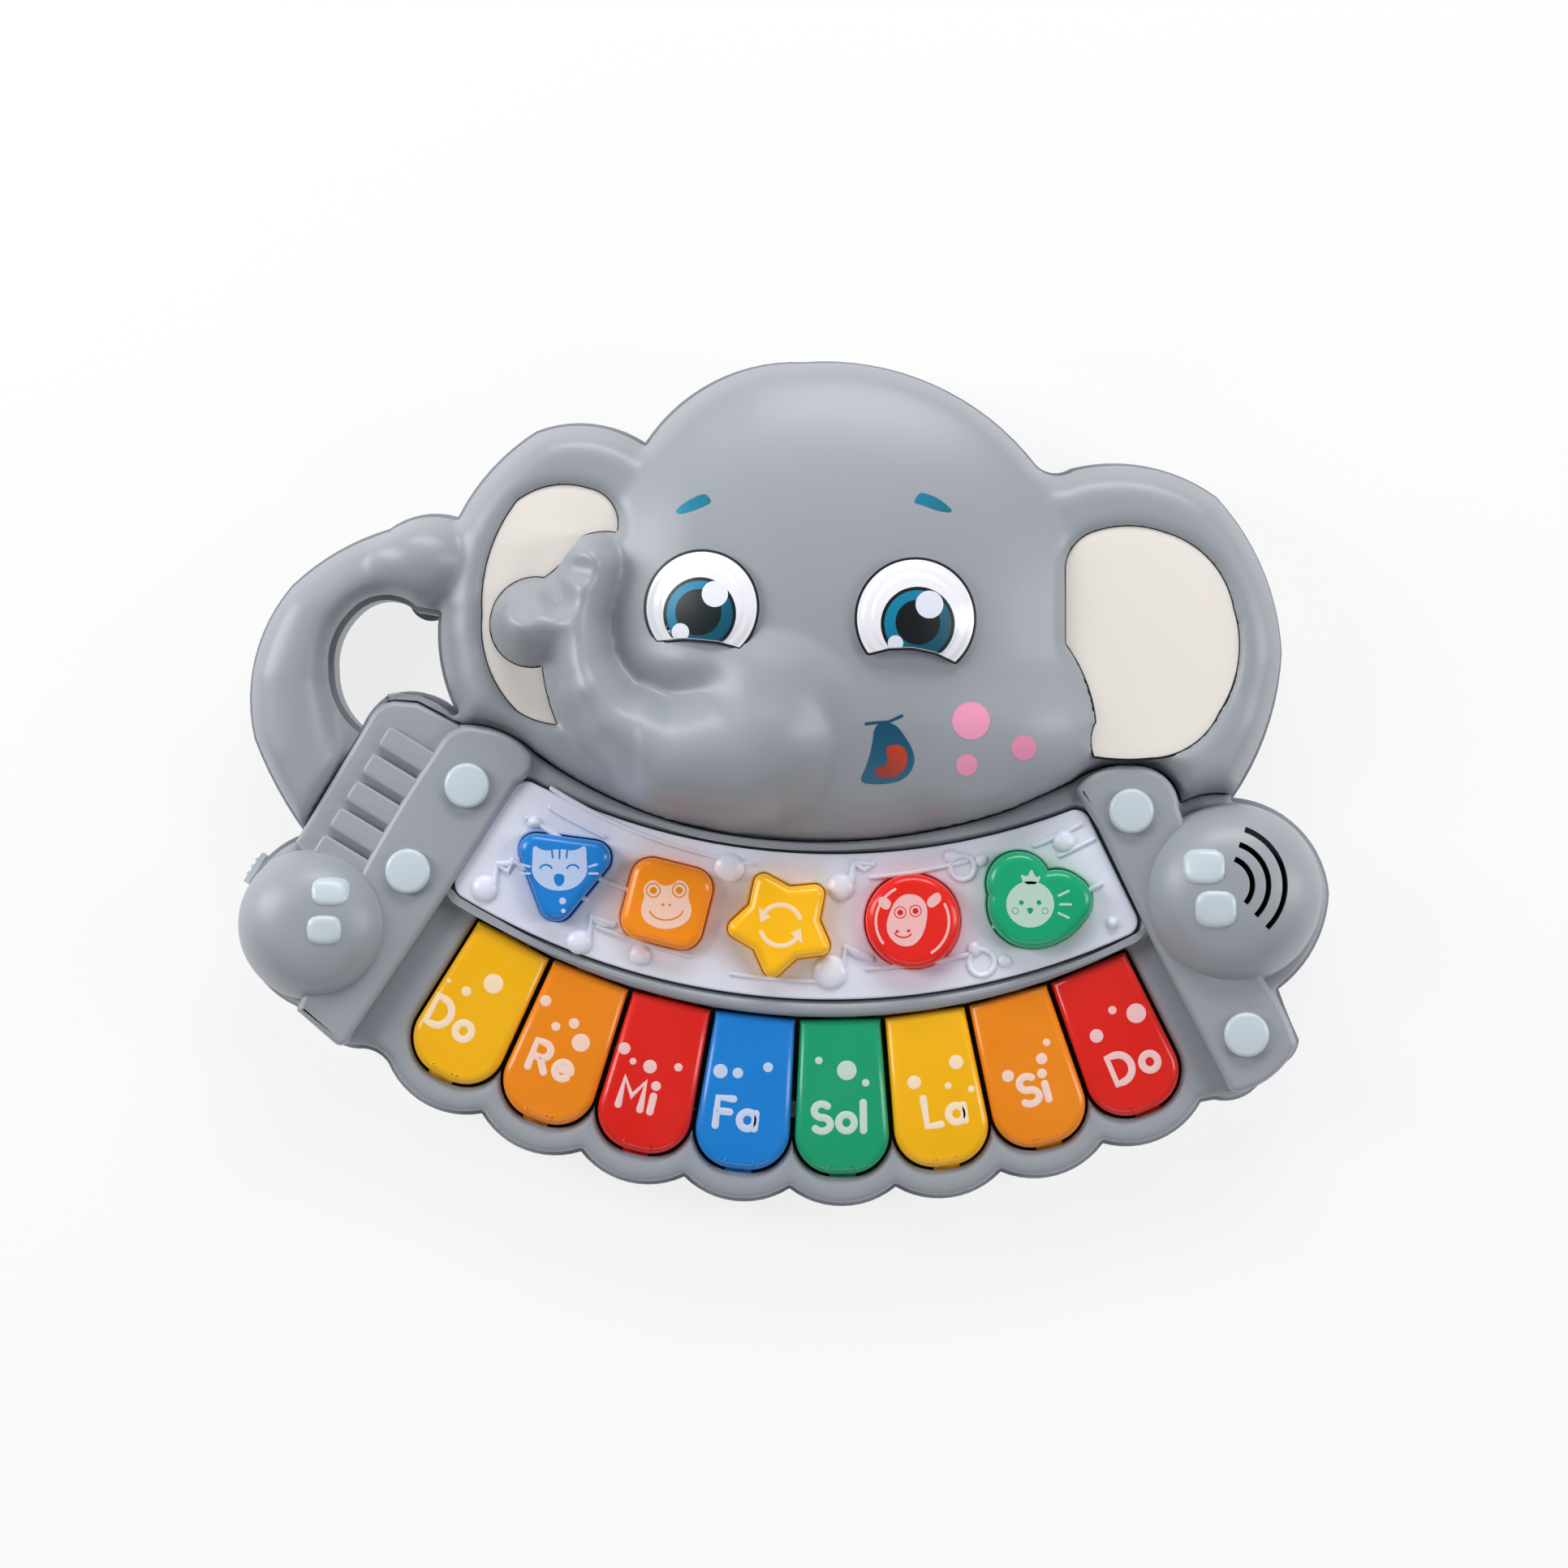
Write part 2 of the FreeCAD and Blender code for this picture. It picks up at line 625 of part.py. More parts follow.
def rear_shell(outer):
    hole = area(HANDLE_HOLE)
    wall_start = foot_height + plinth_height
    body = joined([prism(grown(outer, -plinth_inset), foot_height, wall_start + 0.5),
                   prism(outer, wall_start, parting_height)])
    room = less(prism(grown(outer, -shell_wall), floor_top, parting_height + 1),
                prism(grown(hole, shell_wall), 0, parting_height + 2))
    body = less(body, room, prism(hole, -1, parting_height + 1))
    bay = battery_bay_size()
    bay_outer = (bay[0] + 2 * bay_wall, bay[1] + 2 * bay_wall)
    bay_top = floor_top + cell_diameter * 0.8
    ledge_high = floor_top + 2.0
    door = door_size()
    rim = less(block(battery_centre, (door[0] + 4, door[1] + 4), floor_top - 0.5, ledge_high),
               block(battery_centre, bay, 0, ledge_high + 1))
    walls = less(block(battery_centre, bay_outer, floor_top - 0.5, bay_top),
                 block(battery_centre, bay, 0, bay_top + 1))
    added = [rim, walls]
    taken = []
    for place in FRAME_SCREWS + HEAD_SCREWS:
        added.append(screw_boss(place))
        taken.append(screw_path(place))
    for x, y in FOOT_PLACES:
        added.append(disc(x, y, FOOT_RADIUS, 0, foot_height + 0.5))
    supports = [(x, y, key_board_height - seat_gap) for x, y in key_board_screws()]
    supports += [(x, y, button_board_height - seat_gap) for x, y in BUTTON_BOARD_SCREWS]
    supports += [(x, y, main_board_height - seat_gap) for x, y in main_board_screws()]
    for x, y, top in supports:
        post, bore = pillar(x, y, top)
        added.append(post)
        taken.append(bore)
    for x, y in carrier_screws():
        taken.append(disc(x, y, board_screw_radius + screw_gap, foot_height + 0.8, floor_top + 1))
    seat_half = switch_body_half - 0.5
    added.append(switch_block((-switch_body_depth, -lever_depth + 0.6), (-seat_half, seat_half),
                              floor_top - 0.5, switch_middle_height - switch_body_height / 2))
    door_room = block(battery_centre, (door[0] + 2 * fit_gap, door[1] + 2 * fit_gap),
                      -1, door_low() + door_thickness + seat_gap)
    x, y = door_screw_place()
    taken += [block(battery_centre, bay, -1, floor_top + 1), door_room,
              disc(x, y, screw_radius + screw_gap, 0, ledge_high + 1),
              switch_slot(-shell_wall - 1, 2)]
    return less(body.fuse(added), *taken)


def battery_door():
    """The lid over the cells, with a finger notch and a hole for its screw."""
    door = door_size()
    low = door_low()
    plate = block(battery_centre, door, low, low + door_thickness)
    plate = plate.makeFillet(1.5, [e for e in plate.Edges if abs(e.tangentAt(0).z) > 0.9])
    bay = battery_bay_size()
    rib = less(block(battery_centre, (bay[0] - 1, bay[1] - 1), low + 1, low + door_thickness + 1.2),
               block(battery_centre, (bay[0] - 4, bay[1] - 4), low + 1, low + 6))
    x, y = door_screw_place()
    hole = disc(x, y, screw_radius + fit_gap, low - 1, low + 6)
    sink = disc(x, y, screw_head_radius + fit_gap, low - 1, low + 1.0)
    cx, cy = battery_centre
    grips = [block((cx - (door[0] / 2 - 6 - 3 * k) / plan, cy), (1.4, 16), low - 1, low + 0.6)
             for k in range(3)]
    return less(plate.fuse(rib), hole, sink, *grips)


def battery_door_screw():
    x, y = door_screw_place()
    seat = door_low() + 1.0
    return screw(x, y, seat, 4.0, screw_radius - 0.1, screw_head_radius - 0.2, 1.0)


def cell_places():
    x, y = battery_centre
    first = -(cell_count - 1) / 2
    return [(x, y + (first + k) * cell_pitch / plan) for k in range(cell_count)]


def cell_axis_height():
    return door_low() + door_thickness + 1.6 + cell_diameter / 2


def batteries():
    cells = []
    for k, (x, y) in enumerate(cell_places()):
        way = 1 if k % 2 == 0 else -1
        start = at(x, y, cell_axis_height()) - V(way * cell_length / 2, 0, 0)
        can = Part.makeCylinder(cell_diameter / 2, cell_length - 1.2, start, V(way, 0, 0))
        can = can.makeFillet(0.6, [e for e in can.Edges if len(e.Vertexes) == 1])
        nub = Part.makeCylinder(2.7, 2.0, start + V(way * (cell_length - 2), 0, 0), V(way, 0, 0))
        cells.append(can.fuse(nub))
    return cells


def battery_contacts():
    """A plate at the plus end and a cone spring on a plate at the minus end of each cell."""
    pieces = []
    height = cell_axis_height()
    for k, (x, y) in enumerate(cell_places()):
        way = 1 if k % 2 == 0 else -1
        room = cell_length / 2 + cell_end_room - seat_gap
        for side in (-1, 1):
            inner = side * (room - contact_thickness)
            face = min(inner, side * room)
            corner = at(x, y) + V(face, -5.5, height - 5.5)
            plate = Part.makeBox(contact_thickness, 11, 11, corner)
            if side == -way:
                base = at(x, y, height) + V(inner - 0.2 * -side, 0, 0)
                reach = cell_end_room - contact_thickness - 2 * seat_gap
                spring = Part.makeCone(4.2, 2.6, reach, base, V(-side, 0, 0))
                plate = plate.fuse(spring)
            else:
                reach = cell_end_room - contact_thickness - 2 * seat_gap
                base = at(x, y, height) + V(inner, 0, 0)
                plate = plate.fuse(Part.makeCylinder(1.8, reach, base, V(-side, 0, 0)))
            pieces.append(plate)
    return pieces


def power_switch_body():
    half = switch_body_height / 2
    low = switch_middle_height - half + seat_gap
    body = switch_block((-switch_body_depth, -lever_depth + 0.6),
                        (-switch_body_half, switch_body_half), low,
                        switch_middle_height + half)
    return less(body, switch_slot(-lever_depth - 1, 0))


def power_switch_knob():
    half = knob_height / 2
    middle = switch_middle_height
    cap = switch_block((fit_gap, fit_gap + knob_rise), (-knob_length / 2, knob_length / 2),
                       middle - half, middle + half)
    ridges = [switch_block((fit_gap + knob_rise - 0.3, fit_gap + knob_rise + 0.5),
                           (k * 2.2 - 0.4, k * 2.2 + 0.4), middle - half + 0.6,
                           middle + half - 0.6) for k in (-1, 0, 1)]
    neck = switch_block((-lever_depth, fit_gap + 0.5), (-lever_half, lever_half),
                        middle - half + 1, middle + half - 1)
    return joined([cap, neck] + ridges)


# ---------------------------------------------------------------- keyboard frame
def fist(centre, radius, rise, base, wall=0.0):
    """A round fist standing on the frame, or the room inside it."""
    ball = (radius * radius + rise * rise) / (2 * rise)
    middle = at(*centre, base + rise - ball)
    dome = Part.makeSphere(ball - wall, middle)
    keep = disc(*centre, radius + 5, base - 6 if wall else base - 0.5, base + rise + 5)
    return dome.common(keep)


def fist_sizes():
    base = rim_height
    return ((LEFT_FIST, left_fist_radius * plan, left_fist_rise, base),
            (RIGHT_FIST, right_fist_radius * plan, right_fist_rise, base))


def nail_shape(nail, spread=0.0):
    _, centre, half_long, half_wide, turn = nail
    oval = Part.Ellipse(at(*centre), (half_long + spread) * plan, (half_wide + spread) * plan)
    face = Part.Face(Part.Wire(oval.toShape()))
    face.rotate(at(*centre), V(0, 0, 1), turn)
    return prism(face, rim_height, rim_height + 30)


def nail_solid(nail, deeper=0.0, spread=0.0, higher=0.0):
    left, right = fist_sizes()
    centre, radius, rise, base = left if nail[0] == "left" else right
    ball = (radius * radius + rise * rise) / (2 * rise)
    middle = at(*centre, base + rise - ball)
    outer = Part.makeSphere(ball + nail_rise + higher, middle)
    inner = Part.makeSphere(ball - nail_depth - deeper, middle)
    return nail_shape(nail, spread).common(outer).cut(inner)


def fret_bars():
    """Five bars across the neck plate, square to its left edge."""
    top_corner = at(-104, 15.5)
    along = at(-130, -16) - at(-110, 17)
    along.normalize()
    across = V(-along.y, along.x, 0)
    if across.x < 0:
        across = across * -1
    pitch = 8.3 * plan
    wide = 5.8 * plan
    long = 20.0 * plan
    bars = []
    for k in range(5):
        a = top_corner + along * (k * pitch)
        corners = [a, a + across * long, a + across * long + along * wide, a + along * wide]
        low = parting_height + 1
        bars.append(prism(polygon(corners), low, neck_height + fret_rise))
    return bars


def speaker_slot(points):
    a, b, c = (at(*point) for point in points)
    arc = Part.Arc(a, b, c)
    spread = slot_width / 2
    centre = arc.toShape().Curve.Center
    outer = []
    inner = []
    for point in (a, b, c):
        out = point - centre
        out.normalize()
        outer.append(point + out * spread)
        inner.append(point - out * spread)
    edges = [Part.Arc(*outer).toShape(), Part.LineSegment(outer[2], inner[2]).toShape(),
             Part.Arc(*reversed(inner)).toShape(), Part.LineSegment(inner[0], outer[0]).toShape()]
    band = prism(Part.Face(Part.Wire(edges)), rim_height + 2, rim_height + 40)
    ends = [Part.makeCylinder(spread, 38, V(p.x, p.y, rim_height + 2)) for p in (a, c)]
    return band.fuse(ends)


def key_well():
    """The opening that the keys stand in."""
    openings = []
    for index in range(key_count):
        openings.append(key_block(index, band_front_radius, 10, 40, well_gap))
        front = key_tip_radius + key_tip_bulge
        reach = front + (tab_length + well_gap + fit_gap) / plan
        openings.append(fan_block(index, front - 4, reach,
                                  tab_width / 2 + well_gap, tab_low - 6, tab_high + 0.6))
    return openings


def keyboard_frame(outer):
    inset = grown(outer, -shell_step)
    lower = lower_face()
    base = parting_height + seat_gap
    room_face = grown(outer, -shell_step - shell_wall)
    panel = area(PANEL)
    solid = prism(inset, base, rim_height).common(prism(lower, base - 1, rim_height + 1))
    behind_band = prism(fan_strip(40, band_front_radius, band_reach, band_reach), base, band_height)
    band_keep = prism(inset, base, band_height).common(prism(lower, base - 1, band_height + 1))
    band = band_keep.common(behind_band)
    straps = [prism(area(LEFT_STRAP), base, strap_height),
              prism(area(RIGHT_STRAP), base, strap_height)]
    neck = prism(area(NECK_PLATE), base, neck_height)
    domes = [fist(*size) for size in fist_sizes()]
    raised = straps + [neck, band] + fret_bars()
    raised = [shape.common(band_limit(inset, lower, base)) for shape in raised]
    solid = solid.fuse(raised + domes)
    inner_lower = prism(grown(lower, -shell_wall), base - 1, rim_height - top_wall)
    room = prism(room_face, base - 1, rim_height - top_wall).common(inner_lower)
    strap_rooms = [prism(grown(area(outline), -shell_wall), base - 1, strap_height - top_wall)
                   for outline in (LEFT_STRAP, RIGHT_STRAP)]
    strap_rooms = [shape.common(prism(room_face, base - 2, strap_height)) for shape in strap_rooms]
    fist_rooms = [fist(*size, wall=shell_wall) for size in fist_sizes()]
    ledge = less(prism(grown(panel, shell_wall), panel_seat_height - 2, panel_seat_height),
                 prism(grown(panel, -panel_ledge), base, band_height))
    opening = prism(grown(panel, -panel_ledge), base - 1, band_height + 1)
    pocket = prism(grown(panel, fit_gap), panel_seat_height, band_height + 10)
    posts = []
    bores = []
    for place in FRAME_SCREWS:
        post, bore = front_post(place, strap_height - top_wall + 0.2)
        posts.append(post)
        bores.append(bore)
    under_band = prism(fan_strip(band_front_radius - band_undercut, band_front_radius + 1, 0.5, 0.5),
                       tab_low - 6, tab_high + 0.5)
    centre = at(*RIGHT_FIST)
    seat = less(Part.makeCylinder(speaker_radius + 1.5, 16, V(centre.x, centre.y, speaker_seat_height)),
                Part.makeCylinder(speaker_radius - 2.0, 20, V(centre.x, centre.y, 20)))
    seat = seat.common(fist(*fist_sizes()[1]))
    caps = []
    for x, y in STRAP_CAPS:
        caps.append(disc(x, y, cap_stem_radius + fit_gap, 14, strap_height + 1))
    nails = [nail_solid(nail, seat_gap, fit_gap, 5) for nail in NAILS]
    slots = [speaker_slot(points) for points in SPEAKER_SLOTS]
    solid = less(solid, room, *(strap_rooms + fist_rooms))
    solid = solid.fuse(posts + [ledge, seat])
    return less(solid, opening, pocket, under_band, *(key_well() + bores + caps + nails + slots))


def band_limit(inset, lower, base):
    return prism(inset, base - 1, 60).common(prism(lower, base - 2, 61))


# ---------------------------------------------------------------- head shell
def eye_shape(eye, spread=0.0, deeper=0.0, rise=0.0):
    """A dished disc standing square to the head's surface, cut off by its lower lid."""
    (x, y, radius), lid = eye
    middle, out = surface_frame(x, y)
    reach = radius * plan + spread
    depth = eye_depth + deeper
    puck = Part.makeCylinder(reach, depth + eye_dish + rise, V(0, 0, -depth))
    ball = (reach * reach + eye_dish * eye_dish) / (2 * eye_dish)
    if not rise:
        puck = puck.common(Part.makeSphere(ball, V(0, 0, eye_dish - ball)))
    turn = FreeCAD.Rotation(V(0, 0, 1), out)
    puck.Placement = FreeCAD.Placement(middle, turn)
    lid_block = prism(area(lid), parting_height, 2 * trunk_height)
    lid_block.translate(V(0, -spread, 0))
    return puck.cut(lid_block)


def head_shell(outer):
    base = parting_height + seat_gap
    high = 2 * trunk_height
    hole = area(HANDLE_HOLE)
    lower = lower_face()
    inset = grown(outer, -shell_step)
    outside = less(prism(inset, base, high), prism(grown(hole, shell_step), base - 1, high + 1),
                   prism(grown(lower, shell_gap), base - 2, high + 2))
    outside = outside.common(head_surface(0.0))
    inside = less(prism(grown(outer, -shell_step - shell_wall), base - 1, high),
                  prism(grown(hole, shell_step + shell_wall), base - 2, high + 1),
                  prism(grown(lower, shell_gap + shell_wall), base - 3, high + 2))
    inside = inside.common(head_surface(top_wall))
    sockets = [eye_shape(eye, fit_gap, seat_gap, socket_rise) for eye in EYES]
    solid = [eye_shape(eye, shell_wall, insert_pad_thickness, socket_rise + 2) for eye in EYES]
    for outline in (LEFT_INSERT, RIGHT_INSERT):
        face = area(outline)
        sockets.append(prism(grown(face, fit_gap), insert_pad_height, high))
        pad_low = insert_pad_height - insert_pad_thickness
        solid.append(prism(grown(face, shell_wall), pad_low, high + 5))
    bores = []
    for place in HEAD_SCREWS:
        post, bore = front_post(place, high)
        solid.append(post)
        bores.append(bore)
    for tool in sockets:
        outside = outside.cut(tool)
    for tool in solid:
        inside = inside.cut(tool)
    return less(less(outside, inside), *bores)


def ear_insert(outline):
    low = insert_pad_height + seat_gap
    plate = prism(area(outline), low, low + insert_thickness)
    return plate


# ---------------------------------------------------------------- panel, keys and buttons
def music_panel():
    low = panel_seat_height + seat_gap
    top = low + panel_thickness
    plate = prism(area(PANEL), low, top)
    plate = plate.makeFillet(panel_corner, [e for e in plate.Edges
                                            if e.Curve.TypeId == "Part::GeomLine"
                                            and abs(e.tangentAt(0).z) > 0.9])
    balls = []
    for x, y, radius in PANEL_BALLS:
        balls.append(Part.makeCone(radius, 0.6 * radius, relief_height + 0.4,
                                   at(x, y, top - 0.4)))
    holes = [prism(grown(shape(), slide_gap), low - 1, top + 5) for _, shape, _ in BUTTONS]
    return less(plate.fuse(balls), *holes)


def button(shape, stem):
    face = shape()
    cap = prism(face, button_flange_low, button_top)
    cap = cap.makeFillet(1.6, [e for e in cap.Edges
                               if min(v.Z for v in e.Vertexes) > button_top - 0.01])
    flange = prism(grown(face, button_flange), button_flange_low,
                   button_flange_low + button_flange_thickness)
    room = prism(grown(face, -button_wall), button_flange_low - 1, button_top - button_wall)
    low = button_board_height + board_thickness + dome_height + plunger_gap
    post = disc(*stem, plunger_radius, low, button_top - button_wall + 0.5)
    return less(cap.fuse(flange), room).fuse(post)


def key(index):
    """One key: hollow body, plunger, stop tab, neck, and the barrel it turns on."""
    body = key_block(index, key_root_radius, key_bottom, key_top)
    body = body.makeFillet(1.5, [e for e in body.Edges
                                 if min(v.Z for v in e.Vertexes) > key_top - 0.01])
    room = key_block(index, key_root_radius + key_wall / plan, key_bottom - 1,
                     key_top - key_wall, -key_wall)
    room_depth = key_board_height + board_thickness + dome_height + plunger_gap
    spot = fan_point(index, dome_radial_place)
    post = Part.makeCylinder(plunger_radius, key_top - key_wall + 0.5 - room_depth,
                             V(spot.x, spot.y, room_depth))
    front = key_tip_radius + key_tip_bulge
    tab = fan_block(index, front - key_wall / plan, front + tab_length / plan,
                    tab_width / 2, tab_low, tab_high)
    neck = fan_block(index, pivot_radius, key_root_radius + 1 / plan, neck_half_width,
                     pivot_height - 1.6, pivot_height + 1.6)
    barrel = cross_rod(index, barrel_radius, -neck_half_width, neck_half_width, pivot_height)
    reach = neck_half_width + trunnion_length
    trunnions = cross_rod(index, trunnion_radius, -reach, reach, pivot_height)
    return less(body, room).fuse([post, tab, neck, barrel, trunnions])


def key_carrier():
    """The bar with a pair of ears for every key, screwed to the rear shell's floor."""
    low = floor_top + seat_gap
    top = low + carrier_base
    half_depth = carrier_depth / 2 / plan
    bar = prism(fan_strip(pivot_radius - half_depth, pivot_radius + half_depth, 0.45, 0.45),
                low, top)
    ears = []
    bores = []
    for index in range(key_count):
        for side in (-1, 1):
            near = neck_half_width + 0.35
            far = near + ear_thickness
            start, end = (near, far) if side > 0 else (-far, -near)
            ears.append(cross_rod(index, ear_radius, start, end, pivot_height))
            depth = ear_radius / plan
            corners = [fan_point(index, pivot_radius - depth, start),
                       fan_point(index, pivot_radius + depth, start),
                       fan_point(index, pivot_radius + depth, end),
                       fan_point(index, pivot_radius - depth, end)]
            ears.append(prism(polygon(corners), top - 0.5, pivot_height))
        reach = neck_half_width + trunnion_length + 1
        bores.append(cross_rod(index, trunnion_radius + pivot_gap, -reach, reach, pivot_height))
    holes = [disc(x, y, board_screw_radius + fit_gap, low - 1, top + 1)
             for x, y in carrier_screws()]
    return less(bar.fuse(ears), *(bores + holes))


# ---------------------------------------------------------------- boards and small parts
def dome(x, y, low):
    foot = Part.makeCylinder(dome_base_radius, 0.8, V(x, y, low))
    skirt = Part.makeCone(dome_base_radius - 0.8, dome_top_radius, dome_height - 1.6,
                          V(x, y, low + 0.8))
    top = Part.makeCylinder(dome_top_radius, 0.8, V(x, y, low + dome_height - 0.8))
    return foot.fuse([skirt, top])


def key_board():
    half = key_board_depth / 2 / plan
    radius = dome_radial_place
    face = fan_strip(radius - half, radius + half, 0.42, 0.42)
    plate = prism(face, key_board_height, key_board_height + board_thickness)
    holes = [disc(x, y, board_screw_radius + fit_gap, 0, 20) for x, y in key_board_screws()]
    return less(plate, *holes)


def button_board():
    plate = prism(fan_strip(132, 160, 0.3, 0.1), button_board_height,
                  button_board_height + board_thickness)
    holes = [disc(x, y, board_screw_radius + fit_gap, 0, 20) for x, y in BUTTON_BOARD_SCREWS]
    return less(plate, *holes)


def button_leds():
    low = button_board_height + board_thickness + seat_gap
    lamps = []
    for _, _, (x, y) in BUTTONS:
        for side in (-1, 1):
            foot = disc(x + side * led_offset / plan, y, led_radius, low, low + led_height - led_radius)
            top = at(x + side * led_offset / plan, y, low + led_height - led_radius)
            lamps.append(foot.fuse(Part.makeSphere(led_radius, top)))
    return lamps


def main_board():
    plate = block(main_board_centre, main_board_size, main_board_height,
                  main_board_height + board_thickness)
    holes = [disc(x, y, board_screw_radius + fit_gap, 0, 20) for x, y in main_board_screws()]
    return less(plate, *holes)


def board_components():
    """The sound chip's blob, a capacitor can, resistors and two wire sockets."""
    low = main_board_height + board_thickness + seat_gap
    cx, cy = main_board_centre
    blob = Part.makeSphere(9.0, at(cx - 4, cy + 3, low - 6.4)).common(
        disc(cx - 4, cy + 3, 8, low, low + 5))
    can = disc(cx + 12, cy - 9, 3.2, low, low + 8)
    pieces = [blob, can]
    for k in range(4):
        pieces.append(block((cx - 14 + 5 * k, cy - 11), (3.2, 1.6), low, low + 0.8))
    pieces.append(block((cx + 15, cy + 4), (5, 10), low, low + 5))
    pieces.append(block((cx - 17, cy + 3), (5, 10), low, low + 5))
    return pieces


def board_screws():
    screws = []
    for x, y in key_board_screws():
        screws.append(board_screw(x, y, key_board_height + board_thickness + seat_gap))
    for x, y in BUTTON_BOARD_SCREWS:
        screws.append(board_screw(x, y, button_board_height + board_thickness + seat_gap))
    for x, y in main_board_screws():
        screws.append(board_screw(x, y, main_board_height + board_thickness + seat_gap, 4.0))
    for x, y in carrier_screws():
        top = floor_top + seat_gap + carrier_base + seat_gap
        screws.append(board_screw(x, y, top, carrier_base + 1.6))
    return screws


def housing_screws():
    return [screw(x, y, screw_seat_height - seat_gap, screw_length, screw_radius,
                  screw_head_radius, screw_head_height) for x, y in FRAME_SCREWS + HEAD_SCREWS]


# ---------------------------------------------------------------- speaker
def speaker_basket():
    x, y = RIGHT_FIST
    top = speaker_seat_height - seat_gap
    ring = less(disc(x, y, speaker_radius, top - 1.2, top), disc(x, y, speaker_radius - 2.5, 0, 60))
    outer = Part.makeCone(magnet_radius, speaker_radius - 1.5, speaker_depth - 2,
                          at(x, y, top - speaker_depth + 1))
    inner = Part.makeCone(magnet_radius - 1, speaker_radius - 2.5, speaker_depth - 2,
                          at(x, y, top - speaker_depth + 1))
    bowl = less(outer, inner)
    back = less(disc(x, y, magnet_radius, top - speaker_depth, top - speaker_depth + 1.2),
                disc(x, y, 4, 0, 60))
    return joined([ring, bowl, back])


def speaker_cone():
    """The paper cone and its dust cap, inside the basket."""
    x, y = RIGHT_FIST
    top = speaker_seat_height - seat_gap - 0.4
    depth = speaker_depth - 5
    wide = speaker_radius - 2.8
    outer = Part.makeCone(4.5, wide, depth, at(x, y, top - depth))
    inner = Part.makeCone(3.7, wide - 0.8, depth, at(x, y, top - depth + 0.5))
    cap = Part.makeSphere(6.0, at(x, y, top - depth - 2.4)).common(
        disc(x, y, 4.6, top - depth - 0.2, top))
    return less(outer, inner).fuse(cap)


def speaker_magnet():
    x, y = RIGHT_FIST
    top = speaker_seat_height - seat_gap - speaker_depth - seat_gap
    return disc(x, y, magnet_radius - 0.5, top - magnet_thickness, top)


# ---------------------------------------------------------------- trims
def strap_cap(x, y):
    low = strap_height + seat_gap
    head = disc(x, y, cap_radius, low, low + cap_rise)
    head = head.makeFillet(1.0, [head.Edges[0]])
    stem = disc(x, y, cap_stem_radius, low - cap_stem_length, low + 0.5)
    return head.fuse(stem)


def main():
    os.makedirs("parts", exist_ok=True)
    outer = outer_face()
    save("rear_shell", rear_shell(outer))
    save("keyboard_frame", keyboard_frame(outer))
    save("head_shell", head_shell(outer))
    save("left_ear_insert", ear_insert(LEFT_INSERT))
    save("right_ear_insert", ear_insert(RIGHT_INSERT))
    save("left_eye", eye_shape(EYES[0]))
    save("right_eye", eye_shape(EYES[1]))
    save("music_panel", music_panel())
    save("strap_caps", *[strap_cap(x, y) for x, y in STRAP_CAPS])
    save("fist_nails", *[nail_solid(nail) for nail in NAILS])
    for index, name in enumerate(NAMES):
        save("key_" + name, key(index))
        spot = fan_point(index, dome_radial_place)
        save("key_dome_" + name, dome(spot.x, spot.y, key_board_height + board_thickness))
    for name, shape, stem in BUTTONS:
        save("button_" + name, button(shape, stem))
        spot = at(*stem)
        save("button_dome_" + name, dome(spot.x, spot.y, button_board_height + board_thickness))
    save("key_carrier", key_carrier())
    save("key_board", key_board())
    save("button_board", button_board())
    save("button_leds", *button_leds())
    save("main_board", main_board())
    save("board_components", *board_components())
    save("board_screws", *board_screws())
    save("housing_screws", *housing_screws())
    save("speaker_basket", speaker_basket())
    save("speaker_cone", speaker_cone())
    save("speaker_magnet", speaker_magnet())
    save("batteries", *batteries())
    save("battery_contacts", *battery_contacts())
    save("battery_door", battery_door())
    save("battery_door_screw", battery_door_screw())
    save("power_switch_body", power_switch_body())
    save("power_switch_knob", power_switch_knob())


main()
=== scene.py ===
"""Looks of the elephant-shaped toy keyboard: rounded shells, glossy keys, lit buttons and prints.

Sizes in the tables are millimetres in the frame of the CAD model, +Z out of the toy's face.
"""
import bpy
import bmesh
import math
from mathutils import Matrix, Vector, kdtree


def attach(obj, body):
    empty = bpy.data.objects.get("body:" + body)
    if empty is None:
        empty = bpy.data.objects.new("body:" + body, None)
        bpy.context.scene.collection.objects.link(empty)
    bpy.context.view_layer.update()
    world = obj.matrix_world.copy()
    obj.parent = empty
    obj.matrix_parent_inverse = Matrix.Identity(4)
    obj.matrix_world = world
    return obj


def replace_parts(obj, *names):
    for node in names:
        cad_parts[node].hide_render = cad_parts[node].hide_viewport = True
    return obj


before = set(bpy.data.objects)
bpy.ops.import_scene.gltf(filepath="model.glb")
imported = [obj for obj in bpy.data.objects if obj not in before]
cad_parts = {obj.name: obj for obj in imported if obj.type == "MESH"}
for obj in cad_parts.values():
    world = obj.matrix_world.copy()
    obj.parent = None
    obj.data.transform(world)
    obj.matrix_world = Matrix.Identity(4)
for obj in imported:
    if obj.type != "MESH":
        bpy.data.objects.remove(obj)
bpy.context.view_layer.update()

MM = 0.001
CELL = 1.0
PRINT_CELL = 0.7
PRINT_DEPTH = 0.3  # how far a print's underside lies below the surface it is on
HOUSING = "housing"
PARTING = 16.1
RIM_TOP = 22.5
BAND_TOP = 26.5
STRAP_TOP = 30.0
FAN_CENTRE = (12.0, 114.0)
FIRST_KEY = -28.3
KEY_PITCH = 7.3
KEY_NAMES = ("do_low", "re", "mi", "fa", "sol", "la", "si", "do_high")
BUTTON_NAMES = ("blue", "orange", "yellow", "red", "green")


